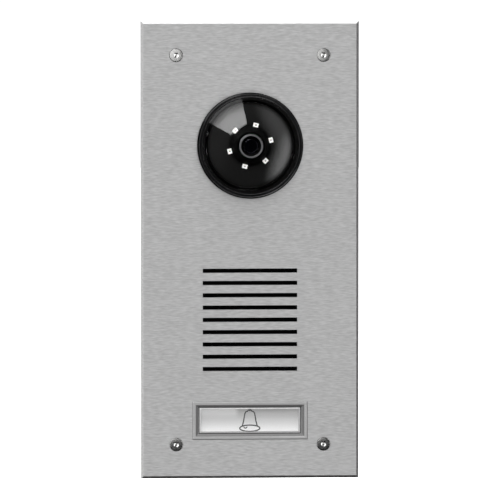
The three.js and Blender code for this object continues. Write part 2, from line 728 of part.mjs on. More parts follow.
function trimmerBody(x) {
  const half = 4;
  const front = BOARD.back + TOUCH_GAP;
  const body = box(x - half, x + half, front, TRIMMER.front - 0.2, TRIMMER.z - half, TRIMMER.z + half);
  return body.subtract(rod(1.3, front + 1, TRIMMER.front + 1, x, TRIMMER.z));
}

function trimmerKnob(x) {
  const { radius, front, back, z } = TRIMMER;
  const cap = rod(radius, front, back, x, z);
  const spindle = rod(1.2, front - 2.4, front + 0.1, x, z);
  const slot = box(x - 0.4, x + 0.4, back - 0.9, back + 1, z - 2, z + 2);
  return cap.add(spindle).subtract(slot);
}

// ---------- Assembly ----------
const LOOKS = {
  stainless: { color: 0xb0b0b0, roughness: 0.35, metalness: 1 },
  steel: { color: 0x9a9a98, roughness: 0.4, metalness: 1 },
  foam: { color: 0x1c1c1c, roughness: 0.95, metalness: 0 },
  blackPlastic: { color: 0x0d0d0e, roughness: 0.3, metalness: 0 },
  darkPlastic: { color: 0x1b1c1e, roughness: 0.6, metalness: 0 },
  rubber: { color: 0x151515, roughness: 0.85, metalness: 0 },
  clear: { color: 0xffffff, roughness: 0.05, metalness: 0, transparent: true, opacity: 0.3 },
  cloth: { color: 0x0a0a0a, roughness: 1, metalness: 0 },
  cone: { color: 0x26231f, roughness: 0.8, metalness: 0 },
  silver: { color: 0xa6a6a6, roughness: 0.4, metalness: 0.8 },
  paper: { color: 0xf2f2f0, roughness: 0.8, metalness: 0 },
  diffuser: { color: 0xe9ecec, roughness: 0.5, metalness: 0 },
  housing: { color: 0x232528, roughness: 0.6, metalness: 0 },
  board: { color: 0x14532d, roughness: 0.5, metalness: 0 },
  terminal: { color: 0x2f7d3f, roughness: 0.45, metalness: 0 },
  led: { color: 0xf3f1e6, roughness: 0.4, metalness: 0 },
  lensRing: { color: 0x6f7072, roughness: 0.35, metalness: 0.6 },
  trimmer: { color: 0x2a4f9c, roughness: 0.5, metalness: 0 },
};

const group = new THREE.Group();

function add(name, made, look) {
  const data = made.getMesh();
  const geometry = new THREE.BufferGeometry();
  geometry.setAttribute("position", new THREE.BufferAttribute(data.vertProperties, 3));
  geometry.setIndex(new THREE.BufferAttribute(data.triVerts, 1));
  geometry.computeVertexNormals();
  const mesh = new THREE.Mesh(geometry, new THREE.MeshStandardMaterial(LOOKS[look]));
  mesh.name = name;
  group.add(mesh);
}

function numbered(name, places, make, look) {
  places.forEach((place, i) => add(name + "_" + (i + 1), make(place), look));
}

add("front_plate", frontPlate(), "stainless");
add("plate_seal", plateSeal(), "foam");
numbered("plate_screw", screwPlaces, ([x, z]) => plateScrew(x, z), "steel");

add("camera_bezel", cameraBezel(), "blackPlastic");
add("bezel_seal", bezelSeal(), "rubber");
add("bezel_nut", bezelNut(), "darkPlastic");
add("camera_dome", cameraDome(), "clear");
add("dome_seal", domeSeal(), "rubber");
add("swivel_keeper", swivelKeeper(), "darkPlastic");
add("swivel_ring", swivelRing(), "darkPlastic");
numbered("tilt_pin", [1, -1], tiltPin, "steel");
add("camera_head", cameraHead(), "darkPlastic");
add("led_board", ledBoard(), "board");
numbered("led", ledAngles, led, "led");
add("lens_base", lensBase(), "blackPlastic");
add("lens_barrel", lensBarrel(), "blackPlastic");
add("lens_ring", lensRing(), "lensRing");
add("lens_glass", lensGlass(), "clear");
add("sensor_board", sensorBoard(), "board");
add("head_cover", headCover(), "darkPlastic");

add("speaker_cloth", speakerCloth(), "cloth");
add("speaker_gasket", speakerGasket(), "foam");
add("speaker_frame", speakerFrame(), "steel");
add("speaker_cone", speakerCone(), "cone");
add("speaker_magnet", speakerMagnet(), "steel");
add("microphone_boot", microphoneBoot(), "rubber");
add("microphone", microphone(), "steel");

add("button_frame", buttonFrame(), "silver");
add("call_button", callButton(), "clear");
add("name_label", nameLabel(), "paper");
add("button_carrier", buttonCarrier(), "diffuser");
numbered("return_spring", [-SPRING.x, SPRING.x], returnSpring, "steel");
add("switch_body", switchBody(), "darkPlastic");
add("switch_plunger", switchPlunger(), "paper");
add("button_board", buttonBoard(), "board");

add("housing", housing(), "housing");
numbered("housing_nut", studPlaces, ([x, z]) => housingNut(x, z), "steel");
add("main_board", mainBoard(), "board");
add("terminal_block", terminalBlock(), "terminal");
numbered("terminal_screw", terminalX, terminalScrew, "steel");
numbered("trimmer_body", TRIMMER.x, trimmerBody, "trimmer");
numbered("trimmer_knob", TRIMMER.x, trimmerKnob, "paper");

export default group;
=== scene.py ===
import json
import math

import bmesh
import bpy
from mathutils import Matrix, Vector

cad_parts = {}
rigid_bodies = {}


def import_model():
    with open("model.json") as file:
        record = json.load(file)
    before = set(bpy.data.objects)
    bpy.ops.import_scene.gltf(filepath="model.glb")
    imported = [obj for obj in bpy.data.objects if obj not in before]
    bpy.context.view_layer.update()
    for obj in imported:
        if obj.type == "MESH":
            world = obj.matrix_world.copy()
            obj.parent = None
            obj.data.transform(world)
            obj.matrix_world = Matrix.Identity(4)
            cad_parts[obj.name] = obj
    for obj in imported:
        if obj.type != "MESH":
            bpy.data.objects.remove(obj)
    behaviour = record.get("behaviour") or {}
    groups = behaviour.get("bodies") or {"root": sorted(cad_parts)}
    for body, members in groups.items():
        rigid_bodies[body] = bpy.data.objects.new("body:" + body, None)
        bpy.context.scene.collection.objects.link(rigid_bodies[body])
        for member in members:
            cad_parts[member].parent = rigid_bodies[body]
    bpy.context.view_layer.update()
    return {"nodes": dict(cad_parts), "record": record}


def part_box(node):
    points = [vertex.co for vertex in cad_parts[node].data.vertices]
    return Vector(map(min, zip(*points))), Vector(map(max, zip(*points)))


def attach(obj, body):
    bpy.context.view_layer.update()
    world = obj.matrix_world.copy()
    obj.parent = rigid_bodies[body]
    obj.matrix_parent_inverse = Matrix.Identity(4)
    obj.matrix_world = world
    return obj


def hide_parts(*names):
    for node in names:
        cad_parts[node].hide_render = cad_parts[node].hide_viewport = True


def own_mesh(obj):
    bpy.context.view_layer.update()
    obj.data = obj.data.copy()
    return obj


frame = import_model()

MM = 0.001
ROLL = math.radians(-15)  # how far the camera head is rolled about its own axis

# ---------- Places and sizes, read from the frame (metres) ----------


def middle(node):
    low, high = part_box(node)
    return (low + high) / 2


CAMERA_Z = middle("camera_bezel").z
BUTTON_Z = middle("call_button").z
PLATE_LOW, PLATE_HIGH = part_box("front_plate")
PLATE_FRONT = PLATE_LOW.y
PLATE_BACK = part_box("plate_seal")[0].y - 0.1 * MM
LENS_AXIS = Vector((0, 0, CAMERA_Z))
SCREWS = [middle(f"plate_screw_{i}") for i in (1, 2, 3, 4)]


# ---------- Mesh building ----------


def new_object(name, mesh):
    made = bpy.data.objects.new(name, mesh)
    bpy.context.scene.collection.objects.link(made)
    return made


def from_bmesh(name, bm):
    mesh = bpy.data.meshes.new(name)
    bmesh.ops.recalc_face_normals(bm, faces=bm.faces)
    bm.to_mesh(mesh)
    bm.free()
    for polygon in mesh.polygons:
        polygon.use_smooth = True
    mesh.set_sharp_from_angle(angle=math.radians(30))
    return new_object(name, mesh)


FILLET_STEPS = 5


def fillet(profile):
    """Rounds a profile's corners. Each is (radius, y) or (radius, y, fillet radius), in millimetres."""
    points = []
    count = len(profile)
    for i, corner in enumerate(profile):
        here = Vector(corner[:2])
        if len(corner) == 2:
            points.append(here)
            continue
        back = Vector(profile[i - 1][:2]) - here
        on = Vector(profile[(i + 1) % count][:2]) - here
        half = back.angle(on) / 2
        reach = min(corner[2] / math.tan(half), back.length * 0.49, on.length * 0.49)
        start = here + back.normalized() * reach
        end = here + on.normalized() * reach
        for k in range(FILLET_STEPS + 1):
            t = k / FILLET_STEPS
            points.append(start * (1 - t) ** 2 + here * 2 * t * (1 - t) + end * t**2)
    return points


def lathe(name, profile, x=0.0, z=0.0, segments=128):
    """A closed profile in millimetres, turned about the Y axis through x and z in metres."""
    points = fillet(profile)
    bm = bmesh.new()
    rings = []
    for radius, y in points:
        if radius < 1e-6:
            rings.append([bm.verts.new((x, y * MM, z))])
            continue
        rings.append([
            bm.verts.new((
                x + radius * MM * math.cos(2 * math.pi * k / segments),
                y * MM,
                z + radius * MM * math.sin(2 * math.pi * k / segments),
            ))
            for k in range(segments)
        ])
    for a, b in zip(rings, rings[1:] + rings[:1]):
        if len(a) == 1 and len(b) == 1:
            continue
        for k in range(segments):
            n = (k + 1) % segments
            if len(a) == 1:
                bm.faces.new((a[0], b[k], b[n]))
            elif len(b) == 1:
                bm.faces.new((a[k], b[0], a[n]))
            else:
                bm.faces.new((a[k], b[k], b[n], a[n]))
    return from_bmesh(name, bm)


def block(name, low, high):
    """A box between two corners, in metres."""
    bm = bmesh.new()
    bmesh.ops.create_cube(bm, size=1)
    low, high = Vector(low), Vector(high)
    for v in bm.verts:
        v.co = Vector(low[i] + (v.co[i] + 0.5) * (high[i] - low[i]) for i in range(3))
    return from_bmesh(name, bm)


def prism(name, outline, y0, y1):
    """An outline of (x, z) points in metres, drawn out from y0 to y1."""
    bm = bmesh.new()
    front = [bm.verts.new((x, y0, z)) for x, z in outline]
    back = [bm.verts.new((x, y1, z)) for x, z in outline]
    bm.faces.new(front)
    bm.faces.new(back[::-1])
    for i in range(len(outline)):
        n = (i + 1) % len(outline)
        bm.faces.new((front[i], back[i], back[n], front[n]))
    return from_bmesh(name, bm)


def apply_modifiers(obj):
    bpy.context.view_layer.update()
    depsgraph = bpy.context.evaluated_depsgraph_get()
    mesh = bpy.data.meshes.new_from_object(obj.evaluated_get(depsgraph))
    obj.modifiers.clear()
    obj.data = mesh


def combine(obj, others, operation):
    """Joins the other solids to obj, or cuts them from it, and deletes them."""
    for other in others:
        change = obj.modifiers.new("combine", "BOOLEAN")
        change.operation = operation
        change.object = other
        change.solver = "EXACT"
    apply_modifiers(obj)
    for other in others:
        bpy.data.objects.remove(other)


def smooth(obj, degrees=30):
    for polygon in obj.data.polygons:
        polygon.use_smooth = True
    obj.data.set_sharp_from_angle(angle=math.radians(degrees))


def soften(obj, width_mm, segments=2, degrees=35):
    """Rounds every edge sharper than the angle, and shades the rest smooth."""
    bm = bmesh.new()
    bm.from_mesh(obj.data)
    bmesh.ops.remove_doubles(bm, verts=bm.verts, dist=1e-6)
    bmesh.ops.dissolve_limit(bm, angle_limit=math.radians(1), verts=bm.verts, edges=bm.edges)
    bm.to_mesh(obj.data)
    bm.free()
    bevel = obj.modifiers.new("edges", "BEVEL")
    bevel.width = width_mm * MM
    bevel.segments = segments
    bevel.limit_method = "ANGLE"
    bevel.angle_limit = math.radians(degrees)
    bevel.use_clamp_overlap = True
    apply_modifiers(obj)
    smooth(obj, degrees)
    flat = obj.modifiers.new("flat_faces", "WEIGHTED_NORMAL")
    flat.weight = 100
    flat.keep_sharp = True
    return obj


def copy_of(node, name, width_mm, segments=2, degrees=35):
    """A CAD node's shape as a new piece with its edges rounded."""
    made = new_object(name, frame["nodes"][node].data.copy())
    return soften(made, width_mm, segments, degrees)


def turned_about_lens(obj, angle):
    turn = Matrix.Translation(LENS_AXIS) @ Matrix.Rotation(-angle, 4, "Y") @ Matrix.Translation(-LENS_AXIS)
    obj.data.transform(turn)
    return obj


def dress(obj, body, slot, replaced=(), look=None):
    """Puts a finished piece on its body. Its material is its slot's own one unless another is given."""
    obj.data.materials.clear()
    obj.data.materials.append(look or LOOKS[slot])
    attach(obj, body)
    if replaced:
        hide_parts(*replaced)


def paint(obj, look, wanted):
    """Gives the faces that are wanted another material."""
    obj.data.materials.append(look)
    for face in obj.data.polygons:
        if wanted(face):
            face.material_index = len(obj.data.materials) - 1


# ---------- Materials ----------


def set_range(node, *values):
    for socket, value in zip(("From Min", "From Max", "To Min", "To Max"), values):
        node.inputs[socket].default_value = value


class Look:
    """A node material, built by short calls. Textures use the object's own coordinates, in metres."""

    def __init__(self, name, **sockets):
        self.material = bpy.data.materials.new(name)
        self.material.use_nodes = True
        self.tree = self.material.node_tree
        self.shader = self.tree.nodes["Principled BSDF"]
        self.output = self.tree.nodes["Material Output"]
        for socket, value in sockets.items():
            self.shader.inputs[socket.replace("_", " ")].default_value = value
        self.place = self.node("ShaderNodeTexCoord").outputs["Object"]

    def node(self, kind, **settings):
        made = self.tree.nodes.new(kind)
        for key, value in settings.items():
            setattr(made, key, value)
        return made

    def link(self, source, target):
        self.tree.links.new(source, target)

    def stretched(self, scale):
        mapping = self.node("ShaderNodeMapping")
        mapping.inputs["Scale"].default_value = scale
        self.link(self.place, mapping.inputs["Vector"])
        return mapping.outputs["Vector"]

    def noise(self, scale, detail=3.0, roughness=0.5, vector=None):
        made = self.node("ShaderNodeTexNoise")
        made.inputs["Scale"].default_value = scale
        made.inputs["Detail"].default_value = detail
        made.inputs["Roughness"].default_value = roughness
        self.link(vector or self.place, made.inputs["Vector"])
        return made.outputs["Fac"]

    def ramp(self, source, stops):
        made = self.node("ShaderNodeValToRGB")
        elements = made.color_ramp.elements
        while len(elements) < len(stops):
            elements.new(0.5)
        for element, (position, colour) in zip(elements, stops):
            element.position = position
            element.color = (*colour, 1)
        self.link(source, made.inputs["Fac"])
        return made.outputs["Color"]

    def spread(self, source, low, high, from_low=0.3, from_high=0.7):
        made = self.node("ShaderNodeMapRange")
        set_range(made, from_low, from_high, low, high)
        self.link(source, made.inputs["Value"])
        return made.outputs["Result"]

    def bump(self, height, strength, distance_mm):
        made = self.node("ShaderNodeBump")
        made.inputs["Strength"].default_value = strength
        made.inputs["Distance"].default_value = distance_mm * MM
        self.link(height, made.inputs["Height"])
        self.link(made.outputs["Normal"], self.shader.inputs["Normal"])

    def set(self, socket, source):
        self.link(source, self.shader.inputs[socket])


def shade(colour, factor):
    return tuple(min(1.0, c * factor) for c in colour)


PLASTIC_SPREAD = 0.12  # how far the colour wanders to either side
METAL_SPREAD = 0.16  # the same for the streaks of brushed metal


def plastic(name, colour, roughness, grain_mm=0.35, relief_mm=0.01, shine=0.5):
    """Moulded plastic: fine spark-eroded grain, faint flow marks and an uneven shine."""
    look = Look(name, Metallic=0.0, IOR=1.5, Specular_IOR_Level=shine)
    cloudy = look.noise(90, 4, 0.6)
    grain = look.noise(1 / (grain_mm * MM), 2)
    look.set("Base Color", look.ramp(cloudy, [
        (0.25, shade(colour, 1 - PLASTIC_SPREAD)), (0.5, colour), (0.75, shade(colour, 1 + PLASTIC_SPREAD)),
    ]))
    look.set("Roughness", look.spread(cloudy, roughness * 0.85, min(1.0, roughness * 1.2)))
    look.bump(grain, 0.6, relief_mm)
    return look.material


def gloss_black():
    """Polished black plastic with faint handling marks."""
    look = Look("bezel_plastic", Metallic=0.0, IOR=1.5, Coat_Weight=0.3, Coat_Roughness=0.04)
    dust = look.noise(1400, 5, 0.75)
    smears = look.noise(60, 4, 0.65)
    look.set("Base Color", look.ramp(dust, [
        (0.45, (0.0045, 0.0045, 0.005)), (0.62, (0.007, 0.007, 0.0075)), (0.8, (0.016, 0.016, 0.016)),
    ]))
    look.set("Roughness", look.spread(smears, 0.14, 0.3))
    look.bump(look.noise(260, 2), 0.15, 0.02)
    return look.material


def brushed_metal(name, colour, roughness, grain=(230, 1500, 1500), depth=1.0):
    """Metal brushed along X: short fine scratches in colour, roughness and relief."""
    look = Look(name, Metallic=1.0, Anisotropic=0.55)
    streaks = look.spread(look.noise(1, 2, 0.5, look.stretched(grain)), 0, 1, 0.25, 0.75)
    contrast = METAL_SPREAD * depth
    look.set("Base Color", look.ramp(streaks, [
        (0.0, shade(colour, 1 - contrast)), (0.5, colour), (1.0, shade(colour, 1 + contrast)),
    ]))
    look.set("Roughness", look.spread(streaks, roughness * 0.85, roughness * 1.15, 0, 1))
    tangent = look.node("ShaderNodeCombineXYZ")
    tangent.inputs["Z"].default_value = 1
    look.set("Tangent", tangent.outputs["Vector"])
    look.bump(streaks, 0.25 * depth, 0.01)
    return look.material


def turned_metal(name, colour, roughness, relief_mm=0.008):
    """Small machined or plated metal: fine scratches and a patchy plating tone."""
    look = Look(name, Metallic=1.0)
    patches = look.noise(500, 4, 0.65)
    scratches = look.noise(1, 4, 0.7, look.stretched((3000, 3000, 700)))
    look.set("Base Color", look.ramp(patches, [
        (0.3, shade(colour, 0.82)), (0.55, colour), (0.75, shade(colour, 1.12)),
    ]))
    look.set("Roughness", look.spread(scratches, roughness * 0.8, roughness * 1.25))
    look.bump(scratches, 0.4, relief_mm)
    return look.material


def foam_rubber(name, colour, cell_mm, roughness=0.95):
    look = Look(name, Metallic=0.0, IOR=1.4)
    cells = look.node("ShaderNodeTexVoronoi")
    cells.inputs["Scale"].default_value = 1 / (cell_mm * MM)
    look.link(look.place, cells.inputs["Vector"])
    look.set("Base Color", look.ramp(cells.outputs["Distance"], [
        (0.0, shade(colour, 0.45)), (0.4, colour), (0.9, shade(colour, 1.5)),
    ]))
    look.set("Roughness", look.spread(look.noise(300), roughness * 0.9, 1.0))
    look.bump(cells.outputs["Distance"], 0.7, cell_mm * 0.3)
    return look.material


HALF_WAVE = 0.32  # about half of one wave of the weave, in millimetres
HALF_WAVES = 6.3  # about how many of them the wave texture has in one unit, at scale 1


def woven_cloth():
    look = Look("acoustic_cloth", Metallic=0.0, Sheen_Weight=0.02, Specular_IOR_Level=0.05)
    weave = []
    for axis in ("X", "Z"):
        wave = look.node("ShaderNodeTexWave", bands_direction=axis)
        wave.inputs["Scale"].default_value = 1 / (HALF_WAVE * MM) / HALF_WAVES
        wave.inputs["Distortion"].default_value = 0.4
        look.link(look.place, wave.inputs["Vector"])
        weave.append(wave.outputs["Fac"])
    crossed = look.node("ShaderNodeMath", operation="MULTIPLY")
    look.link(weave[0], crossed.inputs[0])
    look.link(weave[1], crossed.inputs[1])
    look.set("Base Color", look.ramp(crossed.outputs["Value"], [(0.0, (0.0006,) * 3), (1.0, (0.0035,) * 3)]))
    look.set("Roughness", look.spread(crossed.outputs["Value"], 0.8, 1.0, 0, 1))
    look.bump(crossed.outputs["Value"], 0.8, 0.08)
    return look.material


def clear_shell(name, tint, ior):
    """Clear plastic: light goes straight through, and it mirrors most at grazing angles (Schlick)."""
    look = Look(name)
    look.tree.nodes.remove(look.shader)
    through = look.node("ShaderNodeBsdfTransparent")
    through.inputs["Color"].default_value = (*tint, 1)
    shine = look.node("ShaderNodeBsdfGlossy")
    shine.inputs["Color"].default_value = (1, 1, 1, 1)
    smears = look.noise(55, 4, 0.6)
    look.link(look.spread(smears, 0.0, 0.045), shine.inputs["Roughness"])
    head_on = ((ior - 1) / (ior + 1)) ** 2
    facing = look.node("ShaderNodeLayerWeight")
    facing.inputs["Blend"].default_value = 0.5
    grazing = look.node("ShaderNodeMath", operation="POWER")
    look.link(facing.outputs["Facing"], grazing.inputs[0])
    grazing.inputs[1].default_value = 5
    mix = look.node("ShaderNodeMixShader")
    look.link(look.spread(grazing.outputs["Value"], head_on, 1, 0, 1), mix.inputs["Fac"])
    look.link(through.outputs["BSDF"], mix.inputs[1])
    look.link(shine.outputs["BSDF"], mix.inputs[2])
    look.link(mix.outputs["Shader"], look.output.inputs["Surface"])
    return look.material


# Painted light: how bright the name strip's colour and glow are, from its lower edge to its upper one.
LABEL_PAINTED_LIGHT = (
    (0.0, 0.70), (0.2, 0.60), (0.4, 0.50), (0.5, 0.455), (0.6, 0.425), (0.7, 0.435), (0.8, 0.48), (1.0, 0.57),
)
LABEL_PAINTED_SHADE = 0.46  # painted shade: how much darker its upper right part is, at the upper edge
PAINTED_SHADE_FROM_X, PAINTED_SHADE_TO_X = -9.5, -6.5  # where that painted shade begins, in millimetres
PAINTED_SHADE_FROM_HEIGHT = 0.55  # how far up the strip it begins


def paper_with_painted_backlight():
    """The name strip: card whose colour and glow carry painted backlight, brightest along its lower edge,
    with painted shade at its upper right.
    """
    look = Look("label_paper", Metallic=0.0, Roughness=0.7)
    split = look.node("ShaderNodeSeparateXYZ")
    look.link(look.place, split.inputs["Vector"])
    low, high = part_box("name_label")
    height = look.spread(split.outputs["Z"], 0, 1, low.z, high.z)
    # Painted light: this ramp up the strip stands in for an uneven backlight.
    tone = look.ramp(height, [(at, (level,) * 3) for at, level in LABEL_PAINTED_LIGHT])
    # Painted shade: these two ramps darken the strip's upper right part.
    rightwards = look.spread(split.outputs["X"], 0, LABEL_PAINTED_SHADE, PAINTED_SHADE_FROM_X * MM, PAINTED_SHADE_TO_X * MM)
    upwards = look.spread(split.outputs["Z"], 0, 1, low.z + PAINTED_SHADE_FROM_HEIGHT * (high.z - low.z), high.z)
    painted_shade_mask = look.node("ShaderNodeMath", operation="MULTIPLY")
    look.link(rightwards, painted_shade_mask.inputs[0])
    look.link(upwards, painted_shade_mask.inputs[1])
    fibres = look.noise(2200, 4, 0.7)
    speckle = look.spread(fibres, 0.96, 1.0)
    kept = look.node("ShaderNodeMath", operation="SUBTRACT")
    look.link(speckle, kept.inputs[0])
    look.link(painted_shade_mask.outputs["Value"], kept.inputs[1])
    both = look.node("ShaderNodeMix", data_type="RGBA", blend_type="MULTIPLY")
    both.inputs["Factor"].default_value = 1.0
    look.link(tone, both.inputs["A"])
    look.link(kept.outputs["Value"], both.inputs["B"])
    look.set("Base Color", both.outputs["Result"])
    # Painted glow: the same colour is the strip's emission, standing in for the light behind it.
    look.set("Emission Color", both.outputs["Result"])
    look.shader.inputs["Emission Strength"].default_value = 0.45
    look.bump(fibres, 0.2, 0.01)
    return look.material


def rim_with_painted_glow():
    """The cap's clear rim, painted opaque white with a faint glow, standing in for the light behind the label
    that fills it.
    """
    look = Look("cap_rim_painted_glow", Metallic=0.0, IOR=1.5)
    cloudy = look.noise(700, 3)
    look.set("Base Color", look.ramp(cloudy, [(0.3, (0.50, 0.50, 0.50)), (0.7, (0.60, 0.60, 0.60))]))
    look.set("Roughness", look.spread(cloudy, 0.15, 0.3))
    look.shader.inputs["Emission Color"].default_value = (1, 1, 1, 1)
    look.shader.inputs["Emission Strength"].default_value = 0.1
    return look.material


def opal():
    look = Look("light_diffuser", Metallic=0.0, IOR=1.5, Subsurface_Weight=0.3, Subsurface_Scale=0.003)
    cloudy = look.noise(200, 3)
    look.set("Base Color", look.ramp(cloudy, [(0.3, (0.74, 0.76, 0.76)), (0.7, (0.83, 0.85, 0.85))]))
    look.set("Roughness", look.spread(cloudy, 0.35, 0.5))
    look.bump(look.noise(1500, 2), 0.2, 0.01)
    return look.material


def solder_mask():
    """Green circuit board: copper tracks show as raised lines under the mask."""
    look = Look("circuit_board", Metallic=0.0, IOR=1.5, Coat_Weight=0.4, Coat_Roughness=0.15)
    tracks = look.node("ShaderNodeTexBrick")
    tracks.inputs["Scale"].default_value = 130
    tracks.inputs["Mortar Size"].default_value = 0.03
    look.link(look.stretched((1, 0, 1)), tracks.inputs["Vector"])
    look.set("Base Color", look.ramp(tracks.outputs["Fac"], [
        (0.2, (0.006, 0.05, 0.02)), (0.8, (0.018, 0.11, 0.045)),
    ]))
    look.set("Roughness", look.spread(look.noise(400), 0.3, 0.45))
    look.bump(tracks.outputs["Fac"], 0.3, 0.03)
    return look.material


def cone_paper():
    look = Look("cone_paper", Metallic=0.0)
    fibres = look.noise(900, 6, 0.75)
    look.set("Base Color", look.ramp(fibres, [(0.3, (0.012, 0.011, 0.01)), (0.7, (0.03, 0.028, 0.025))]))
    look.set("Roughness", look.spread(fibres, 0.7, 0.95))
    look.bump(fibres, 0.7, 0.1)
    return look.material


def led_package_with_painted_glow():
    look = Look("led_package", Metallic=0.0, IOR=1.5, Subsurface_Weight=0.2, Subsurface_Scale=0.0004)
    cloudy = look.noise(1500, 3)
    look.set("Base Color", look.ramp(cloudy, [(0.3, (0.78, 0.77, 0.74)), (0.7, (0.9, 0.89, 0.87))]))
    look.set("Roughness", look.spread(cloudy, 0.3, 0.45))
    # Painted glow: the package body emits light, though it is not the LED's light source, so that it reads
    # bright.
    look.shader.inputs["Emission Color"].default_value = (0.9, 0.9, 0.88, 1)
    look.shader.inputs["Emission Strength"].default_value = 0.7
    return look.material


def phosphor():
    look = Look("led_phosphor", Metallic=0.0, IOR=1.5)
    grains = look.noise(6000, 3)
    look.set("Base Color", look.ramp(grains, [(0.3, (0.42, 0.42, 0.40)), (0.7, (0.58, 0.58, 0.55))]))
    look.set("Roughness", look.spread(grains, 0.3, 0.5))
    return look.material


def coated_glass():
    """The front lens: deep glass with a violet anti-reflection coating and faint dust."""
    look = Look("lens_glass", Metallic=0.0, IOR=1.6, Coat_Weight=1.0, Coat_Roughness=0.01)
    haze = look.noise(800, 4)
    look.set("Base Color", look.ramp(haze, [(0.3, (0.002, 0.002, 0.004)), (0.7, (0.004, 0.004, 0.007))]))
    look.set("Roughness", look.spread(haze, 0.02, 0.08))
    look.shader.inputs["Specular Tint"].default_value = (0.75, 0.7, 1.0, 1)
    return look.material


def ink():
    look = Look("bell_ink", Metallic=0.0)
    wear = look.noise(3000, 3)
    look.set("Base Color", look.ramp(wear, [(0.35, (0.012,) * 3), (0.8, (0.05,) * 3)]))
    look.set("Roughness", look.spread(wear, 0.5, 0.8))
    return look.material


LOOKS = {
    "brushed_stainless": brushed_metal("brushed_stainless", (0.60, 0.60, 0.60), 0.42),
    "frame_metal": brushed_metal("frame_metal", (0.55, 0.55, 0.55), 0.40, grain=(300, 2600, 2600), depth=0.5),
    "screw_steel": turned_metal("screw_steel", (0.62, 0.62, 0.61), 0.22, 0.003),
    "zinc_steel": turned_metal("zinc_steel", (0.60, 0.60, 0.58), 0.38),
    "spring_steel": turned_metal("spring_steel", (0.50, 0.50, 0.50), 0.3),
    "microphone_can": turned_metal("microphone_can", (0.72, 0.72, 0.72), 0.35),
    "lens_ring_metal": turned_metal("lens_ring_metal", (0.30, 0.30, 0.31), 0.38),
    "foam": foam_rubber("foam", (0.02, 0.02, 0.021), 0.5),
    "seal_rubber": foam_rubber("seal_rubber", (0.012, 0.012, 0.012), 0.2, 0.8),
    "bezel_plastic": gloss_black(),
    "camera_plastic": plastic("camera_plastic", (0.012, 0.012, 0.012), 0.6, 0.25, 0.006, shine=0.12),
    "inner_plastic": plastic("inner_plastic", (0.003, 0.003, 0.003), 0.7, shine=0.05),
    "housing_plastic": plastic("housing_plastic", (0.022, 0.023, 0.026), 0.55, 0.45, 0.02),
    "terminal_plastic": plastic("terminal_plastic", (0.02, 0.16, 0.045), 0.4),
    "trimmer_plastic": plastic("trimmer_plastic", (0.012, 0.05, 0.26), 0.4),
    "white_plastic": plastic("white_plastic", (0.72, 0.72, 0.68), 0.45),
    "clear_polycarbonate": clear_shell("clear_polycarbonate", (0.97, 0.97, 0.97), 1.58),
    "acoustic_cloth": woven_cloth(),
    "cone_paper": cone_paper(),
    "circuit_board": solder_mask(),
    "led_package": led_package_with_painted_glow(),
    "lens_glass": coated_glass(),
    "label_paper": paper_with_painted_backlight(),
    "light_diffuser": opal(),
}
CLEAR_CAP = clear_shell("button_cap", (0.98, 0.98, 0.98), 1.5)
PHOSPHOR = phosphor()
INK = ink()
MATT_BLACK = plastic("matt_black", (0.006, 0.006, 0.006), 0.55, 0.3, 0.01, shine=0.15)
FUNNEL = brushed_metal("frame_funnel", (0.20, 0.20, 0.20), 0.45, grain=(300, 2600, 2600), depth=0.5)
CAP_RIM_PAINTED_GLOW = rim_with_painted_glow()
POLISHED = turned_metal("polished_steel", (0.85, 0.85, 0.84), 0.14)


# ---------- Front plate and screws (sizes in millimetres) ----------

CHAMFER = 1.6  # the bevel along the plate's edge
CAMERA_HOLE = 31.7  # radius
SINK_RADIUS, BORE_RADIUS = 4.28, 2.3  # of the countersinks and the holes behind them
SLOT_COUNT, TOP_SLOT_Z, LOWEST_SLOT_Z = 9, -12.9, -74.18  # the heights are those of the slots' middles
SLOT_HALF_LENGTH, SLOT_HALF_HEIGHT = 29.5, 1.325
CUTOUT_HALF_LENGTH, CUTOUT_HALF_HEIGHT = 36, 11.9  # the opening for the call button
STUD_X, STUD_Z, STUD_RADIUS, STUD_END = 48, 62, 1.45, 7.5
SHANK, THREAD_ROOT = 1.95, 1.6  # radii of a screw's thread, at its crests and between them
THREADS, PITCH = 30, 0.52
SCREW_END = 20.0
RECESS_RADIUS, LOBE = 1.72, 0.22  # the recess's mean radius, and how far its six lobes reach out and in
DISH_RADIUS, DISH_FOOT, DISH_DEPTH = 1.55, 0.4, 0.95  # the hollow cone inside the recess
FLAT = 0.97  # a face looks forwards or backwards if its normal has more than this along Y,
STEEP = 0.2  # and is a wall if its normal has less than this


def screw_outline(x, z, steps=72):
    points = []
    for k in range(steps):
        angle = 2 * math.pi * k / steps
        radius = (RECESS_RADIUS + LOBE * math.cos(6 * angle)) * MM
        points.append((x + radius * math.cos(angle), z + radius * math.sin(angle)))
    return points


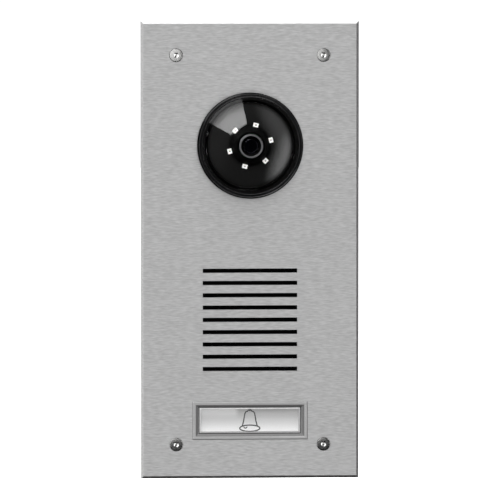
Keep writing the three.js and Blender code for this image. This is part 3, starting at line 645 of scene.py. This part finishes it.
def front_plate():
    low, high = PLATE_LOW, PLATE_HIGH
    chamfer = CHAMFER * MM
    bm = bmesh.new()
    loops = []
    for inset, y in ((chamfer, PLATE_FRONT), (0, PLATE_FRONT + chamfer), (0, PLATE_BACK)):
        corners = [
            (low.x + inset, low.z + inset), (high.x - inset, low.z + inset),
            (high.x - inset, high.z - inset), (low.x + inset, high.z - inset),
        ]
        loops.append([bm.verts.new((x, y, z)) for x, z in corners])
    bm.faces.new(loops[0])
    bm.faces.new(loops[-1][::-1])
    for a, b in zip(loops, loops[1:]):
        for i in range(4):
            n = (i + 1) % 4
            bm.faces.new((a[i], b[i], b[n], a[n]))
    plate = from_bmesh("plate", bm)
    front, back = PLATE_FRONT / MM, PLATE_BACK / MM
    hole = [(0, front - 1), (CAMERA_HOLE, front - 1), (CAMERA_HOLE, back + 1), (0, back + 1)]
    cutters = [lathe("hole", hole, 0, CAMERA_Z)]
    sink = [
        (0, front - 1), (SINK_RADIUS, front - 1), (SINK_RADIUS, front + 0.35),
        (BORE_RADIUS, front + 2.35), (BORE_RADIUS, 1), (0, 1),
    ]
    for at in SCREWS:
        cutters.append(lathe("sink", sink, at.x, at.z, 64))

    def opening(name, half_length, half_height, z):
        y0, y1 = PLATE_FRONT - 1 * MM, PLATE_BACK + 1 * MM
        across, up = half_length * MM, half_height * MM
        cutters.append(block(name, (-across, y0, z - up), (across, y1, z + up)))

    first, last = TOP_SLOT_Z * MM, LOWEST_SLOT_Z * MM
    for k in range(SLOT_COUNT):
        opening("slot", SLOT_HALF_LENGTH, SLOT_HALF_HEIGHT, first + (last - first) * k / (SLOT_COUNT - 1))
    opening("cut", CUTOUT_HALF_LENGTH, CUTOUT_HALF_HEIGHT, BUTTON_Z)
    combine(plate, cutters, "DIFFERENCE")
    stud_profile = [
        (0, back - 1), (STUD_RADIUS, back - 1), (STUD_RADIUS, STUD_END - 0.3, 0.3),
        (1.1, STUD_END), (0, STUD_END),
    ]
    studs = [
        lathe("stud", stud_profile, x * MM, z * MM, 32)
        for x in (-STUD_X, STUD_X) for z in (-STUD_Z, STUD_Z)
    ]
    for stud in studs:
        smooth(stud)
    combine(plate, studs, "UNION")
    soften(plate, 0.12, 2)
    plate.visible_glossy = False  # the dome and the cap mirror the room alone
    dress(plate, "panel", "brushed_stainless", ["front_plate"])


def plate_screw(index, at):
    front = PLATE_FRONT / MM + 0.12
    profile = [
        (0, front), (3.95, front, 0.12), (4.0, front + 0.3, 0.1), (SHANK, front + 2.25, 0.2), (SHANK, 3.0),
    ]
    for k in range(THREADS):
        y = 3.2 + k * PITCH
        profile += [(SHANK, y), (THREAD_ROOT, y + 0.2)]
    profile += [(THREAD_ROOT, 19.2), (1.0, SCREW_END, 0.2), (0, SCREW_END)]
    screw = lathe(f"screw_{index}", profile, at.x, at.z, 48)
    recess = prism("recess", screw_outline(at.x, at.z), (front - 1) * MM, (front + 0.3) * MM)
    dish = lathe("dish", [
        (0, front + 0.2), (DISH_RADIUS, front + 0.2), (DISH_RADIUS, front + 0.3),
        (DISH_FOOT, front + DISH_DEPTH), (0, front + DISH_DEPTH),
    ], at.x, at.z, 48)
    pin = lathe("pin", [
        (0, front + 0.1), (0.42, front + 0.1, 0.1), (0.48, front + 1.2), (0, front + 1.2),
    ], at.x, at.z, 24)
    combine(screw, [recess, dish], "DIFFERENCE")
    combine(screw, [pin], "UNION")
    smooth(screw, 30)
    dress(screw, "panel", "screw_steel", [f"plate_screw_{index}"])

    def in_dish(face):
        reach = math.hypot(face.center.x - at.x, face.center.z - at.z)
        return reach < (DISH_RADIUS + 0.05) * MM and -FLAT < face.normal.y < -0.5

    paint(screw, POLISHED, in_dish)


# ---------- Camera (sizes in millimetres) ----------

DOME_RADIUS, DOME_RIM, DOME_RIM_Y, DOME_WALL = 38.3, 30.0, -10.0, 2.0
DOME_BACK, DOME_STEPS = -7.3, 56
TILT_AXIS_Y = 4.2  # where the hinge pins stand
HEAD_FACE = -8.5
LED_CIRCLE = 13.3  # radius of the circle that the LEDs stand on
LED_HALF_WIDTH, LED_HALF_LENGTH, LED_FRONT, LED_BACK = 1.25, 1.55, -8.3, -6.05
WINDOW_GAP = 0.2  # around each LED
MARK_CIRCLE = 23.9  # radius of the circle that the ring marks stand on
GLASS_RADIUS = 5.1


def camera_bezel():
    front = -10.2
    profile = [
        (28.8, 10.4), (28.8, 8.4), (29.8, 8.4), (29.8, -6.6), (30.1, -6.6), (30.1, front + 0.15, 0.15),
        (30.45, front, 0.25), (30.7, front + 0.4, 0.1), (31.75, front + 0.55, 0.1), (32.1, front + 0.35, 0.2),
        (32.75, front + 1.1, 0.5), (33.0, front + 2.2, 0.3), (33.0, -5.2, 0.2), (31.4, -5.2), (31.4, -1.0),
    ]
    for k in range(12):
        y = 0.0 + k * 0.8
        profile += [(31.4, y), (31.05, y + 0.35)]
    profile += [(31.4, 9.8), (31.1, 10.4)]
    bezel = lathe("bezel", profile, 0, CAMERA_Z, 192)
    bezel.visible_shadow = False  # the tent of light around the panel leaves no shadow beside it
    dress(bezel, "panel", "bezel_plastic", ["camera_bezel"])


def dome_arc(radius, rim):
    centre = DOME_RIM_Y + math.sqrt(DOME_RADIUS**2 - DOME_RIM**2)
    last = math.asin(rim / radius)
    angles = [last * i / DOME_STEPS for i in range(DOME_STEPS + 1)]
    return [(radius * math.sin(a), centre - radius * math.cos(a)) for a in angles]


def camera_dome():
    outside = dome_arc(DOME_RADIUS, DOME_RIM)
    inside = dome_arc(DOME_RADIUS - DOME_WALL, DOME_RIM - DOME_WALL)
    profile = outside + [(DOME_RIM, DOME_BACK), (DOME_RIM - DOME_WALL, DOME_BACK)] + inside[::-1]
    dome = lathe("dome", profile, 0, CAMERA_Z, 192)
    dress(dome, "panel", "clear_polycarbonate", ["camera_dome"])


def pin_bore(side, radius, segments):
    """The hole for one hinge pin, rolled with the camera head."""
    bore = lathe("bore", [(0, 20), (radius, 20), (radius, 40), (0, 40)], 0, 0, segments)
    bore.data.transform(Matrix.Rotation(math.radians(-90 * side), 4, "Z"))
    bore.data.transform(Matrix.Translation((0, TILT_AXIS_Y * MM, CAMERA_Z)))
    return turned_about_lens(bore, ROLL)


def swivel_parts():
    keeper = lathe("keeper", [(29.7, -6.5), (29.7, 0.1), (28.8, 0.1), (28.8, -6.5, 0.3)], 0, CAMERA_Z, 160)
    dress(keeper, "panel", "inner_plastic", ["swivel_keeper"])
    low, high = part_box("swivel_ring")
    front, back = low.y / MM, high.y / MM
    band = lathe("swivel", [
        (27.5, front, 0.4), (29.5, front, 0.3), (29.5, back, 0.3), (27.5, back, 0.3),
        (27.5, 4.5), (26.85, 4.5, 0.15), (26.85, 3.9, 0.15), (27.5, 3.9),
    ], 0, CAMERA_Z, 160)
    combine(band, [pin_bore(side, 1.53, 40) for side in (1, -1)], "DIFFERENCE")
    smooth(band, 35)
    dress(band, "camera_swivel", "inner_plastic", ["swivel_ring"])


def led_angle(k):
    return ROLL + math.radians(30 + 60 * k)


def led_block(name, gap, front, back):
    """A box as large as an LED and the gap around it, not yet turned to its place on the circle."""
    wide, long = LED_HALF_WIDTH + gap, LED_HALF_LENGTH + gap
    low = ((LED_CIRCLE - wide) * MM, front * MM, CAMERA_Z - long * MM)
    return block(name, low, ((LED_CIRCLE + wide) * MM, back * MM, CAMERA_Z + long * MM))


def camera_head():
    face = HEAD_FACE
    shell = lathe("head", [
        (8.2, face, 0.15), (26.4, face, 0.5), (26.4, 11.5, 0.2), (25.2, 11.5, 0.2), (25.2, -7.0), (8.2, -7.0),
    ], 0, CAMERA_Z, 160)
    cutters = [turned_about_lens(led_block("window", WINDOW_GAP, -10, -5), led_angle(k)) for k in range(6)]
    ring_mark = [(2.05, face - 1), (2.4, face - 1), (2.4, face + 0.3), (2.05, face + 0.3)]
    for k in range(4):
        mark = lathe("mark", ring_mark, MARK_CIRCLE * MM, CAMERA_Z, 48)
        cutters.append(turned_about_lens(mark, ROLL + math.radians(90 * k)))
    cutters += [pin_bore(side, 1.55, 32) for side in (1, -1)]
    combine(shell, cutters, "DIFFERENCE")
    smooth(shell, 35)
    dress(shell, "camera_head", "camera_plastic", ["camera_head"])


def led(index):
    angle, front = led_angle(index - 1), LED_FRONT
    package = led_block("package", 0, front, LED_BACK)
    well = lathe("well", [
        (0, front - 1), (0.8, front - 1), (0.8, front), (0.6, front + 0.4), (0, front + 0.4),
    ], LED_CIRCLE * MM, CAMERA_Z, 40)
    combine(package, [well], "DIFFERENCE")
    soften(package, 0.1, 2)
    package.name = f"led_body_{index}"
    turned_about_lens(package, angle)
    dress(package, "camera_head", "led_package", [f"led_{index}"])
    fill = lathe(f"led_phosphor_{index}", [
        (0, front + 0.12), (0.6, front + 0.2), (0.58, front + 0.38), (0, front + 0.38),
    ], LED_CIRCLE * MM, CAMERA_Z, 32)
    turned_about_lens(fill, angle)
    dress(fill, "camera_head", "led_package", look=PHOSPHOR)


def lens():
    foot = -8.6
    base = lathe("lens_skirt", [
        (8.0, foot), (12.0, foot, 0.1), (12.0, foot - 0.45, 0.25),
        (9.9, foot - 3.5, 0.5), (9.0, foot - 4.2, 0.4), (8.0, foot - 4.2, 0.3),
    ], 0, CAMERA_Z, 96)
    dress(base, "camera_head", "bezel_plastic", ["lens_base"], MATT_BLACK)
    profile = [(6.1, -14.0), (7.3, -14.0, 0.05)]
    for k in range(14):
        y = -13.4 + 0.5 * k
        profile += [(7.3, y), (7.0, y + 0.25)]
    profile += [
        (7.3, -3.5, 0.2), (6.2, -3.5), (6.2, -0.6, 0.2), (3.6, -0.6), (3.6, -10.2), (5.3, -10.2),
        (5.3, -12.5), (5.7, -12.6), (5.7, -13.2), (6.1, -13.3),
    ]
    barrel = lathe("lens_tube", profile, 0, CAMERA_Z, 96)
    dress(barrel, "camera_head", "bezel_plastic", ["lens_barrel"], MATT_BLACK)
    ring = lathe("lens_front_ring", [
        (6.2, -14.5, 0.1), (6.45, -15.0, 0.15), (7.2, -15.0, 0.15),
        (7.5, -14.7, 0.15), (7.5, -14.1), (6.2, -14.1),
    ], 0, CAMERA_Z, 96)
    dress(ring, "camera_head", "lens_ring_metal", ["lens_ring"])
    angles = [step * math.pi / 36 for step in range(19)]
    crown = [(GLASS_RADIUS * math.sin(a), -11.9 - 1.5 * math.cos(a)) for a in angles]
    glass = lathe("lens_front_glass", crown + [(GLASS_RADIUS, -10.4), (0, -10.4)], 0, CAMERA_Z, 96)
    dress(glass, "camera_head", "lens_glass", ["lens_glass"])


# ---------- Call button (sizes in millimetres) ----------

BORDER_HALF_LENGTH, BORDER_HALF_HEIGHT = 33.85, 9.75  # the inner edge of the frame's flat border
BELL_LINE, INK_DEPTH = 0.75, 0.06
BELL_BASE = -5.0  # the middle of the skirt's rim, from the middle of the button
BELL_SIDE = ((1.2, 10.7), (2.5, 10.2), (3.0, 9.3), (3.35, 7.6), (3.85, 4.6), (4.6, 1.6))
WIRE_RADIUS, COILS = 0.35, 5
CLOSED_END = 0.08  # the part of the wire that lies flat at each end of a spring


def inside_border(face):
    across, up = face.center.x, face.center.z - BUTTON_Z
    return abs(across) < BORDER_HALF_LENGTH * MM and abs(up) < BORDER_HALF_HEIGHT * MM


def is_funnel(face):
    """The slopes down to the cap."""
    return inside_border(face) and -FLAT < face.normal.y < -STEEP


def is_sleeve(face):
    """The walls around the cap, behind the slopes."""
    return inside_border(face) and abs(face.normal.y) <= STEEP


def button():
    trim = copy_of("button_frame", "button_surround", 0.1, 2)
    dress(trim, "panel", "frame_metal", ["button_frame"])
    paint(trim, FUNNEL, is_funnel)
    paint(trim, MATT_BLACK, is_sleeve)
    cap = copy_of("call_button", "button_cap", 0.3, 3)
    dress(cap, "call_button", "clear_polycarbonate", ["call_button"], CLEAR_CAP)
    # Painted light: the cap's side walls get the white glowing rim colour.
    paint(cap, CAP_RIM_PAINTED_GLOW, lambda face: abs(face.normal.y) < FLAT)
    label = copy_of("name_label", "name_strip", 0.05, 1)
    dress(label, "call_button", "label_paper", ["name_label"])


def stroke(bm, points, width, y0, y1, closed):
    """A flat line of ink along (x, z) points in metres."""
    count = len(points)
    sides = []
    for i, point in enumerate(points):
        before = points[i - 1] if closed or i else point
        after = points[(i + 1) % count] if closed or i < count - 1 else point
        along = (Vector(after) - Vector(before)).normalized()
        across = Vector((-along.y, along.x)) * width / 2
        sides.append((Vector(point) + across, Vector(point) - across))
    rows = []
    for a, b in sides:
        rows.append([bm.verts.new((p.x, y, p.y)) for p, y in ((a, y0), (b, y0), (b, y1), (a, y1))])
    links = list(zip(rows, rows[1:] + rows[:1])) if closed else list(zip(rows, rows[1:]))
    for r, s in links:
        for k in range(4):
            n = (k + 1) % 4
            bm.faces.new((r[k], r[n], s[n], s[k]))
    if not closed:
        bm.faces.new(rows[0])
        bm.faces.new(rows[-1][::-1])


def bell():
    """A plain line drawing of a bell with a knob on top, a flared skirt and a clapper."""
    z0 = BUTTON_Z + BELL_BASE * MM
    width = BELL_LINE * MM
    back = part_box("name_label")[0].y
    front = back - INK_DEPTH * MM

    def rounded(across, up, steps, first=0.0, last=360.0, x=0.0, z=0.0):
        angles = (math.radians(first + (last - first) * k / steps) for k in range(steps + 1))
        return [((x + across * math.cos(a)) * MM, z0 + (z + up * math.sin(a)) * MM) for a in angles]

    bm = bmesh.new()
    for side in (1, -1):
        stroke(bm, [(side * x * MM, z0 + z * MM) for x, z in BELL_SIDE], width, front, back, False)
    stroke(bm, rounded(1.25, 0.9, 12, 0, 180, z=10.6), width, front, back, False)
    stroke(bm, rounded(0.45, 0.45, 12, z=11.6)[:-1], width, front, back, True)
    stroke(bm, rounded(6.3, 1.95, 48)[:-1], width, front, back, True)
    stroke(bm, rounded(0.95, 0.95, 16, -180, 0, x=-2.7, z=1.0), width * 0.8, front, back, False)
    icon = from_bmesh("bell_print", bm)
    dress(icon, "call_button", "label_paper", look=INK)


def return_spring(index):
    low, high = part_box(f"return_spring_{index}")
    x, z = (low.x + high.x) / 2, (low.z + high.z) / 2
    wire, steps, sides = WIRE_RADIUS * MM, 32, 12
    radius = (high.x - low.x) / 2 - wire
    y0, y1 = low.y + wire, high.y - wire
    bm = bmesh.new()
    rows = []
    total = COILS * steps
    for k in range(total + 1):
        t = k / total
        angle = 2 * math.pi * COILS * t
        out = Vector((math.cos(angle), 0, math.sin(angle)))
        eased = min(max((t - CLOSED_END) / (1 - 2 * CLOSED_END), 0), 1)
        at = Vector((x, y0 + (y1 - y0) * eased, z)) + out * radius
        rows.append([
            bm.verts.new(at + wire * (math.cos(b) * out + math.sin(b) * Vector((0, 1, 0))))
            for b in (2 * math.pi * j / sides for j in range(sides))
        ])
    for r, s in zip(rows, rows[1:]):
        for j in range(sides):
            n = (j + 1) % sides
            bm.faces.new((r[j], r[n], s[n], s[j]))
    bm.faces.new(rows[0][::-1])
    bm.faces.new(rows[-1])
    coil = from_bmesh(f"spring_{index}", bm)
    dress(coil, "panel", "spring_steel", [f"return_spring_{index}"])
    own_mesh(coil)


# ---------- Rear ----------


def rear():
    case = copy_of("housing", "rear_case", 0.35, 2)
    dress(case, "panel", "housing_plastic", ["housing"])
    pad = copy_of("plate_seal", "foam_seal", 0.3, 2)
    dress(pad, "panel", "foam", ["plate_seal"])
    for i in (1, 2, 3, 4):
        nut = copy_of(f"housing_nut_{i}", f"stud_nut_{i}", 0.2, 2, 25)
        dress(nut, "panel", "zinc_steel", [f"housing_nut_{i}"])
        screw = copy_of(f"terminal_screw_{i}", f"clamp_screw_{i}", 0.12, 2, 40)
        dress(screw, "panel", "zinc_steel", [f"terminal_screw_{i}"])
    terminals = copy_of("terminal_block", "terminals", 0.2, 2, 40)
    dress(terminals, "panel", "terminal_plastic", ["terminal_block"])
    for i in (1, 2):
        knob = copy_of(f"trimmer_knob_{i}", f"trimmer_dial_{i}", 0.15, 2, 40)
        dress(knob, f"trimmer_{i}", "white_plastic", [f"trimmer_knob_{i}"])


# ---------- Assembly ----------

for part in frame["record"]["subparts"]:
    node = frame["nodes"][part["node"]]
    node.data.materials.clear()
    node.data.materials.append(LOOKS[part["material_slot"]])
    smooth(node, 32)

front_plate()
for number, where in enumerate(SCREWS, 1):
    plate_screw(number, where)
camera_bezel()
camera_dome()
swivel_parts()
camera_head()
for number in range(1, 7):
    led(number)
lens()
button()
bell()
for number in (1, 2):
    return_spring(number)
rear()


# ---------- Stage, light and camera ----------

AZIMUTH, ELEVATION, DISTANCE = math.radians(-4), math.radians(3), 5.0
TARGET = Vector((0, PLATE_FRONT, 0))
VIEW_HEIGHT = 0.3113  # how much the picture takes in at the target, in metres
SENSOR = 36
FLOOR_DROP = 0.06  # how far the floor lies below the panel


def floor():
    bm = bmesh.new()
    bmesh.ops.create_grid(bm, x_segments=8, y_segments=8, size=6)
    ground = from_bmesh("floor", bm)
    ground.location.z = PLATE_LOW.z - FLOOR_DROP
    look = Look("floor_paper", Roughness=0.9)
    mottle = look.noise(3, 3)
    look.set("Base Color", look.ramp(mottle, [(0.3, (0.9,) * 3), (0.7, (0.93,) * 3)]))
    look.shader.inputs["Emission Color"].default_value = (1, 1, 1, 1)
    look.shader.inputs["Emission Strength"].default_value = 1.1
    ground.data.materials.append(look.material)
    # The floor is only for the eye, so that the room lights the panel from below as well.
    ground.visible_glossy = False
    ground.visible_diffuse = False


KEY_ANGLE = 124  # degrees about the view axis, where a long softbox stands beside it
KEY_HALF_WIDTH = 0.5  # half the softbox's width, over its distance from the axis
KEY_NEAR = 0.816  # that distance, over how far the softbox comes forward
KEY_RADIANCE, KEY_FAR_RADIANCE = 3.1, 1.1  # at its front end, and level with the panel
KEY_EDGE = 0.006  # how soft its edges are


def surroundings():
    """A white backdrop for the eye. The panel mirrors a dim room and one softbox, darkest in front."""
    world = bpy.data.worlds.new("studio")
    bpy.context.scene.world = world
    world.use_nodes = True
    tree = world.node_tree
    background = tree.nodes["Background"]
    place = tree.nodes.new("ShaderNodeTexCoord")

    def towards(direction, from_value, to_value, low, high):
        """Goes smoothly from low to high as the cosine of the angle to the direction rises or falls."""
        dot = tree.nodes.new("ShaderNodeVectorMath")
        dot.operation = "DOT_PRODUCT"
        dot.inputs[1].default_value = Vector(direction).normalized()
        tree.links.new(place.outputs["Generated"], dot.inputs[0])
        ramp = tree.nodes.new("ShaderNodeMapRange")
        ramp.interpolation_type = "SMOOTHSTEP"
        set_range(ramp, from_value, to_value, low, high)
        tree.links.new(dot.outputs["Value"], ramp.inputs["Value"])
        return ramp.outputs["Result"]

    def maths(operation, a, b):
        made = tree.nodes.new("ShaderNodeMath")
        made.operation = operation
        tree.links.new(a, made.inputs[0])
        tree.links.new(b, made.inputs[1])
        return made.outputs["Value"]

    def about_axis(degrees):
        """A direction along the wall, turned anticlockwise from +X as seen from the front."""
        angle = math.radians(degrees)
        return Vector((math.cos(angle), 0, math.sin(angle)))

    def total(first, *others):
        for other in others:
            first = maths("ADD", first, other)
        return first

    def product(first, *others):
        for other in others:
            first = maths("MULTIPLY", first, other)
        return first

    walls = total(
        towards(about_axis(-22), 0.66, 0.96, 0.0, 0.85),
        towards(about_axis(-25), 0.84, 1.0, 0.0, 0.4),
        towards(about_axis(30), 0.55, 0.95, 0.0, 0.40),
        towards(about_axis(90), 0.45, 0.95, 0.05, 0.08),
        towards(about_axis(170), 0.30, 0.95, 0.0, 0.06),
    )
    away_from_the_eye = towards((0, -1, 0), 0.735, 0.765, 1.0, 0.02)
    before_the_wall = towards((0, -1, 0), 0.02, 0.16, 0.02, 1.0)
    outward, across = about_axis(KEY_ANGLE), about_axis(KEY_ANGLE + 90)
    key = product(
        towards(outward + KEY_NEAR * Vector((0, 1, 0)), -KEY_EDGE, KEY_EDGE, 0, 1),
        towards(KEY_HALF_WIDTH * outward + across, -KEY_EDGE, KEY_EDGE, 0, 1),
        towards(KEY_HALF_WIDTH * outward - across, -KEY_EDGE, KEY_EDGE, 0, 1),
        towards((0, -1, 0), 0.0, 0.45, KEY_FAR_RADIANCE, KEY_RADIANCE),
    )
    room = maths("ADD", product(walls, away_from_the_eye, before_the_wall), key)
    tree.links.new(room, background.inputs["Strength"])
    background.inputs["Color"].default_value = (1, 1, 1, 1)
    white = tree.nodes.new("ShaderNodeBackground")
    white.inputs["Color"].default_value = (1.05, 1.05, 1.05, 1)
    path = tree.nodes.new("ShaderNodeLightPath")
    mix = tree.nodes.new("ShaderNodeMixShader")
    tree.links.new(path.outputs["Is Camera Ray"], mix.inputs["Fac"])
    tree.links.new(background.outputs["Background"], mix.inputs[1])
    tree.links.new(white.outputs["Background"], mix.inputs[2])
    tree.links.new(mix.outputs["Shader"], tree.nodes["World Output"].inputs["Surface"])


def softbox(name, size, radiance, lit):
    """A flat square lamp of an even radiance, facing -Z until it is placed. It lights one collection."""
    data = bpy.data.lights.new(name, "AREA")
    data.shape = "RECTANGLE"
    data.size = data.size_y = size
    data.energy = math.pi * size * size * radiance
    lamp = bpy.data.objects.new(name, data)
    bpy.context.scene.collection.objects.link(lamp)
    lamp.visible_camera = False
    lamp.light_linking.receiver_collection = lit
    return lamp


def broad_light(name, place, radiance, lit, size=4.5):
    """A large square softbox that faces the panel, and lights only the given collection."""
    lamp = softbox(name, size, radiance, lit)
    lamp.location = place
    lamp.rotation_euler = (-Vector(place)).to_track_quat("-Z", "Y").to_euler()


# The pieces in and around the dome, and the ones behind the slots. The broad lamps are flagged off them.
WINDOW_PIECES = (
    "dome", "bezel", "head", "keeper", "swivel", "lens_skirt", "lens_tube", "lens_front_ring",
    "lens_front_glass", "dome_seal", "bezel_seal", "speaker_cloth", "speaker_gasket",
)


def lit_pieces(name, wanted):
    """The pieces that a lamp is set up for, as a studio flags its lamps off the others."""
    lit = bpy.data.collections.new(name)
    for piece in bpy.context.scene.objects:
        if piece.type == "MESH" and wanted(piece.name):
            lit.objects.link(piece)
    return lit


# The lamp that the flat screw heads mirror. Its lower and right edges leave some of the heads in the dark.
SCREW_LAMP_SIZE, SCREW_LAMP_LOW, SCREW_LAMP_RIGHT = 1.6, -0.09, 0.17


def lights():
    screws = [f"screw_{i}" for i in (1, 2, 3, 4)]
    body = lit_pieces("lit_by_front", lambda name: name not in WINDOW_PIECES and name not in screws)
    heads = lit_pieces("lit_by_screw_lamp", lambda name: name in screws)
    broad_light("front", (0, -1.7, 0.1), 0.67, body)
    broad_light("top", (0, -0.3, 2.2), 1.8, body, 3.0)
    broad_light("left", (-2.2, -0.3, 0), 0.8, body, 3.0)
    over_screws = softbox("screw_lamp", SCREW_LAMP_SIZE, 1.3, heads)
    half = SCREW_LAMP_SIZE / 2
    over_screws.location = (SCREW_LAMP_RIGHT - half, -1.7, SCREW_LAMP_LOW + half)
    over_screws.rotation_euler = (math.radians(90), 0, 0)
    broad_light("screw_left", (-1.6, -0.96, 0.05), 1.6, heads, 2.0)
    broad_light("screw_right", (1.6, -0.96, 0.05), 1.6, heads, 2.0)
    broad_light("behind", (0.4, 1.8, 0.6), 0.9, body)
    rim = lit_pieces("lit_by_rim_lamps", lambda name: name == "bezel")
    broad_light("rim_top", (0.2, -1.03, 1.5), 2.6, rim, 2.0)
    broad_light("rim_right", (1.5, -1.0, -0.1), 1.3, rim, 1.2)
    broad_light("rim_low_left", (-1.2, -1.0, -0.8), 0.9, rim, 1.2)
    ring = lit_pieces("lit_by_ring_lamp", lambda name: name == "lens_front_ring")
    broad_light("ring_lamp", (0, -1.7, 0.1), 0.7, ring)


def camera():
    data = bpy.data.cameras.new("camera")
    view = bpy.data.objects.new("camera", data)
    bpy.context.scene.collection.objects.link(view)
    back = Vector((
        math.sin(AZIMUTH) * math.cos(ELEVATION),
        -math.cos(AZIMUTH) * math.cos(ELEVATION),
        math.sin(ELEVATION),
    ))
    view.location = TARGET + back * DISTANCE
    view.rotation_euler = (-back).to_track_quat("-Z", "Y").to_euler()
    data.sensor_width = SENSOR
    data.lens = SENSOR * DISTANCE / VIEW_HEIGHT
    data.clip_end = 50
    bpy.context.scene.camera = view


floor()
surroundings()
lights()
camera()
bpy.context.scene.view_settings.view_transform = "Standard"
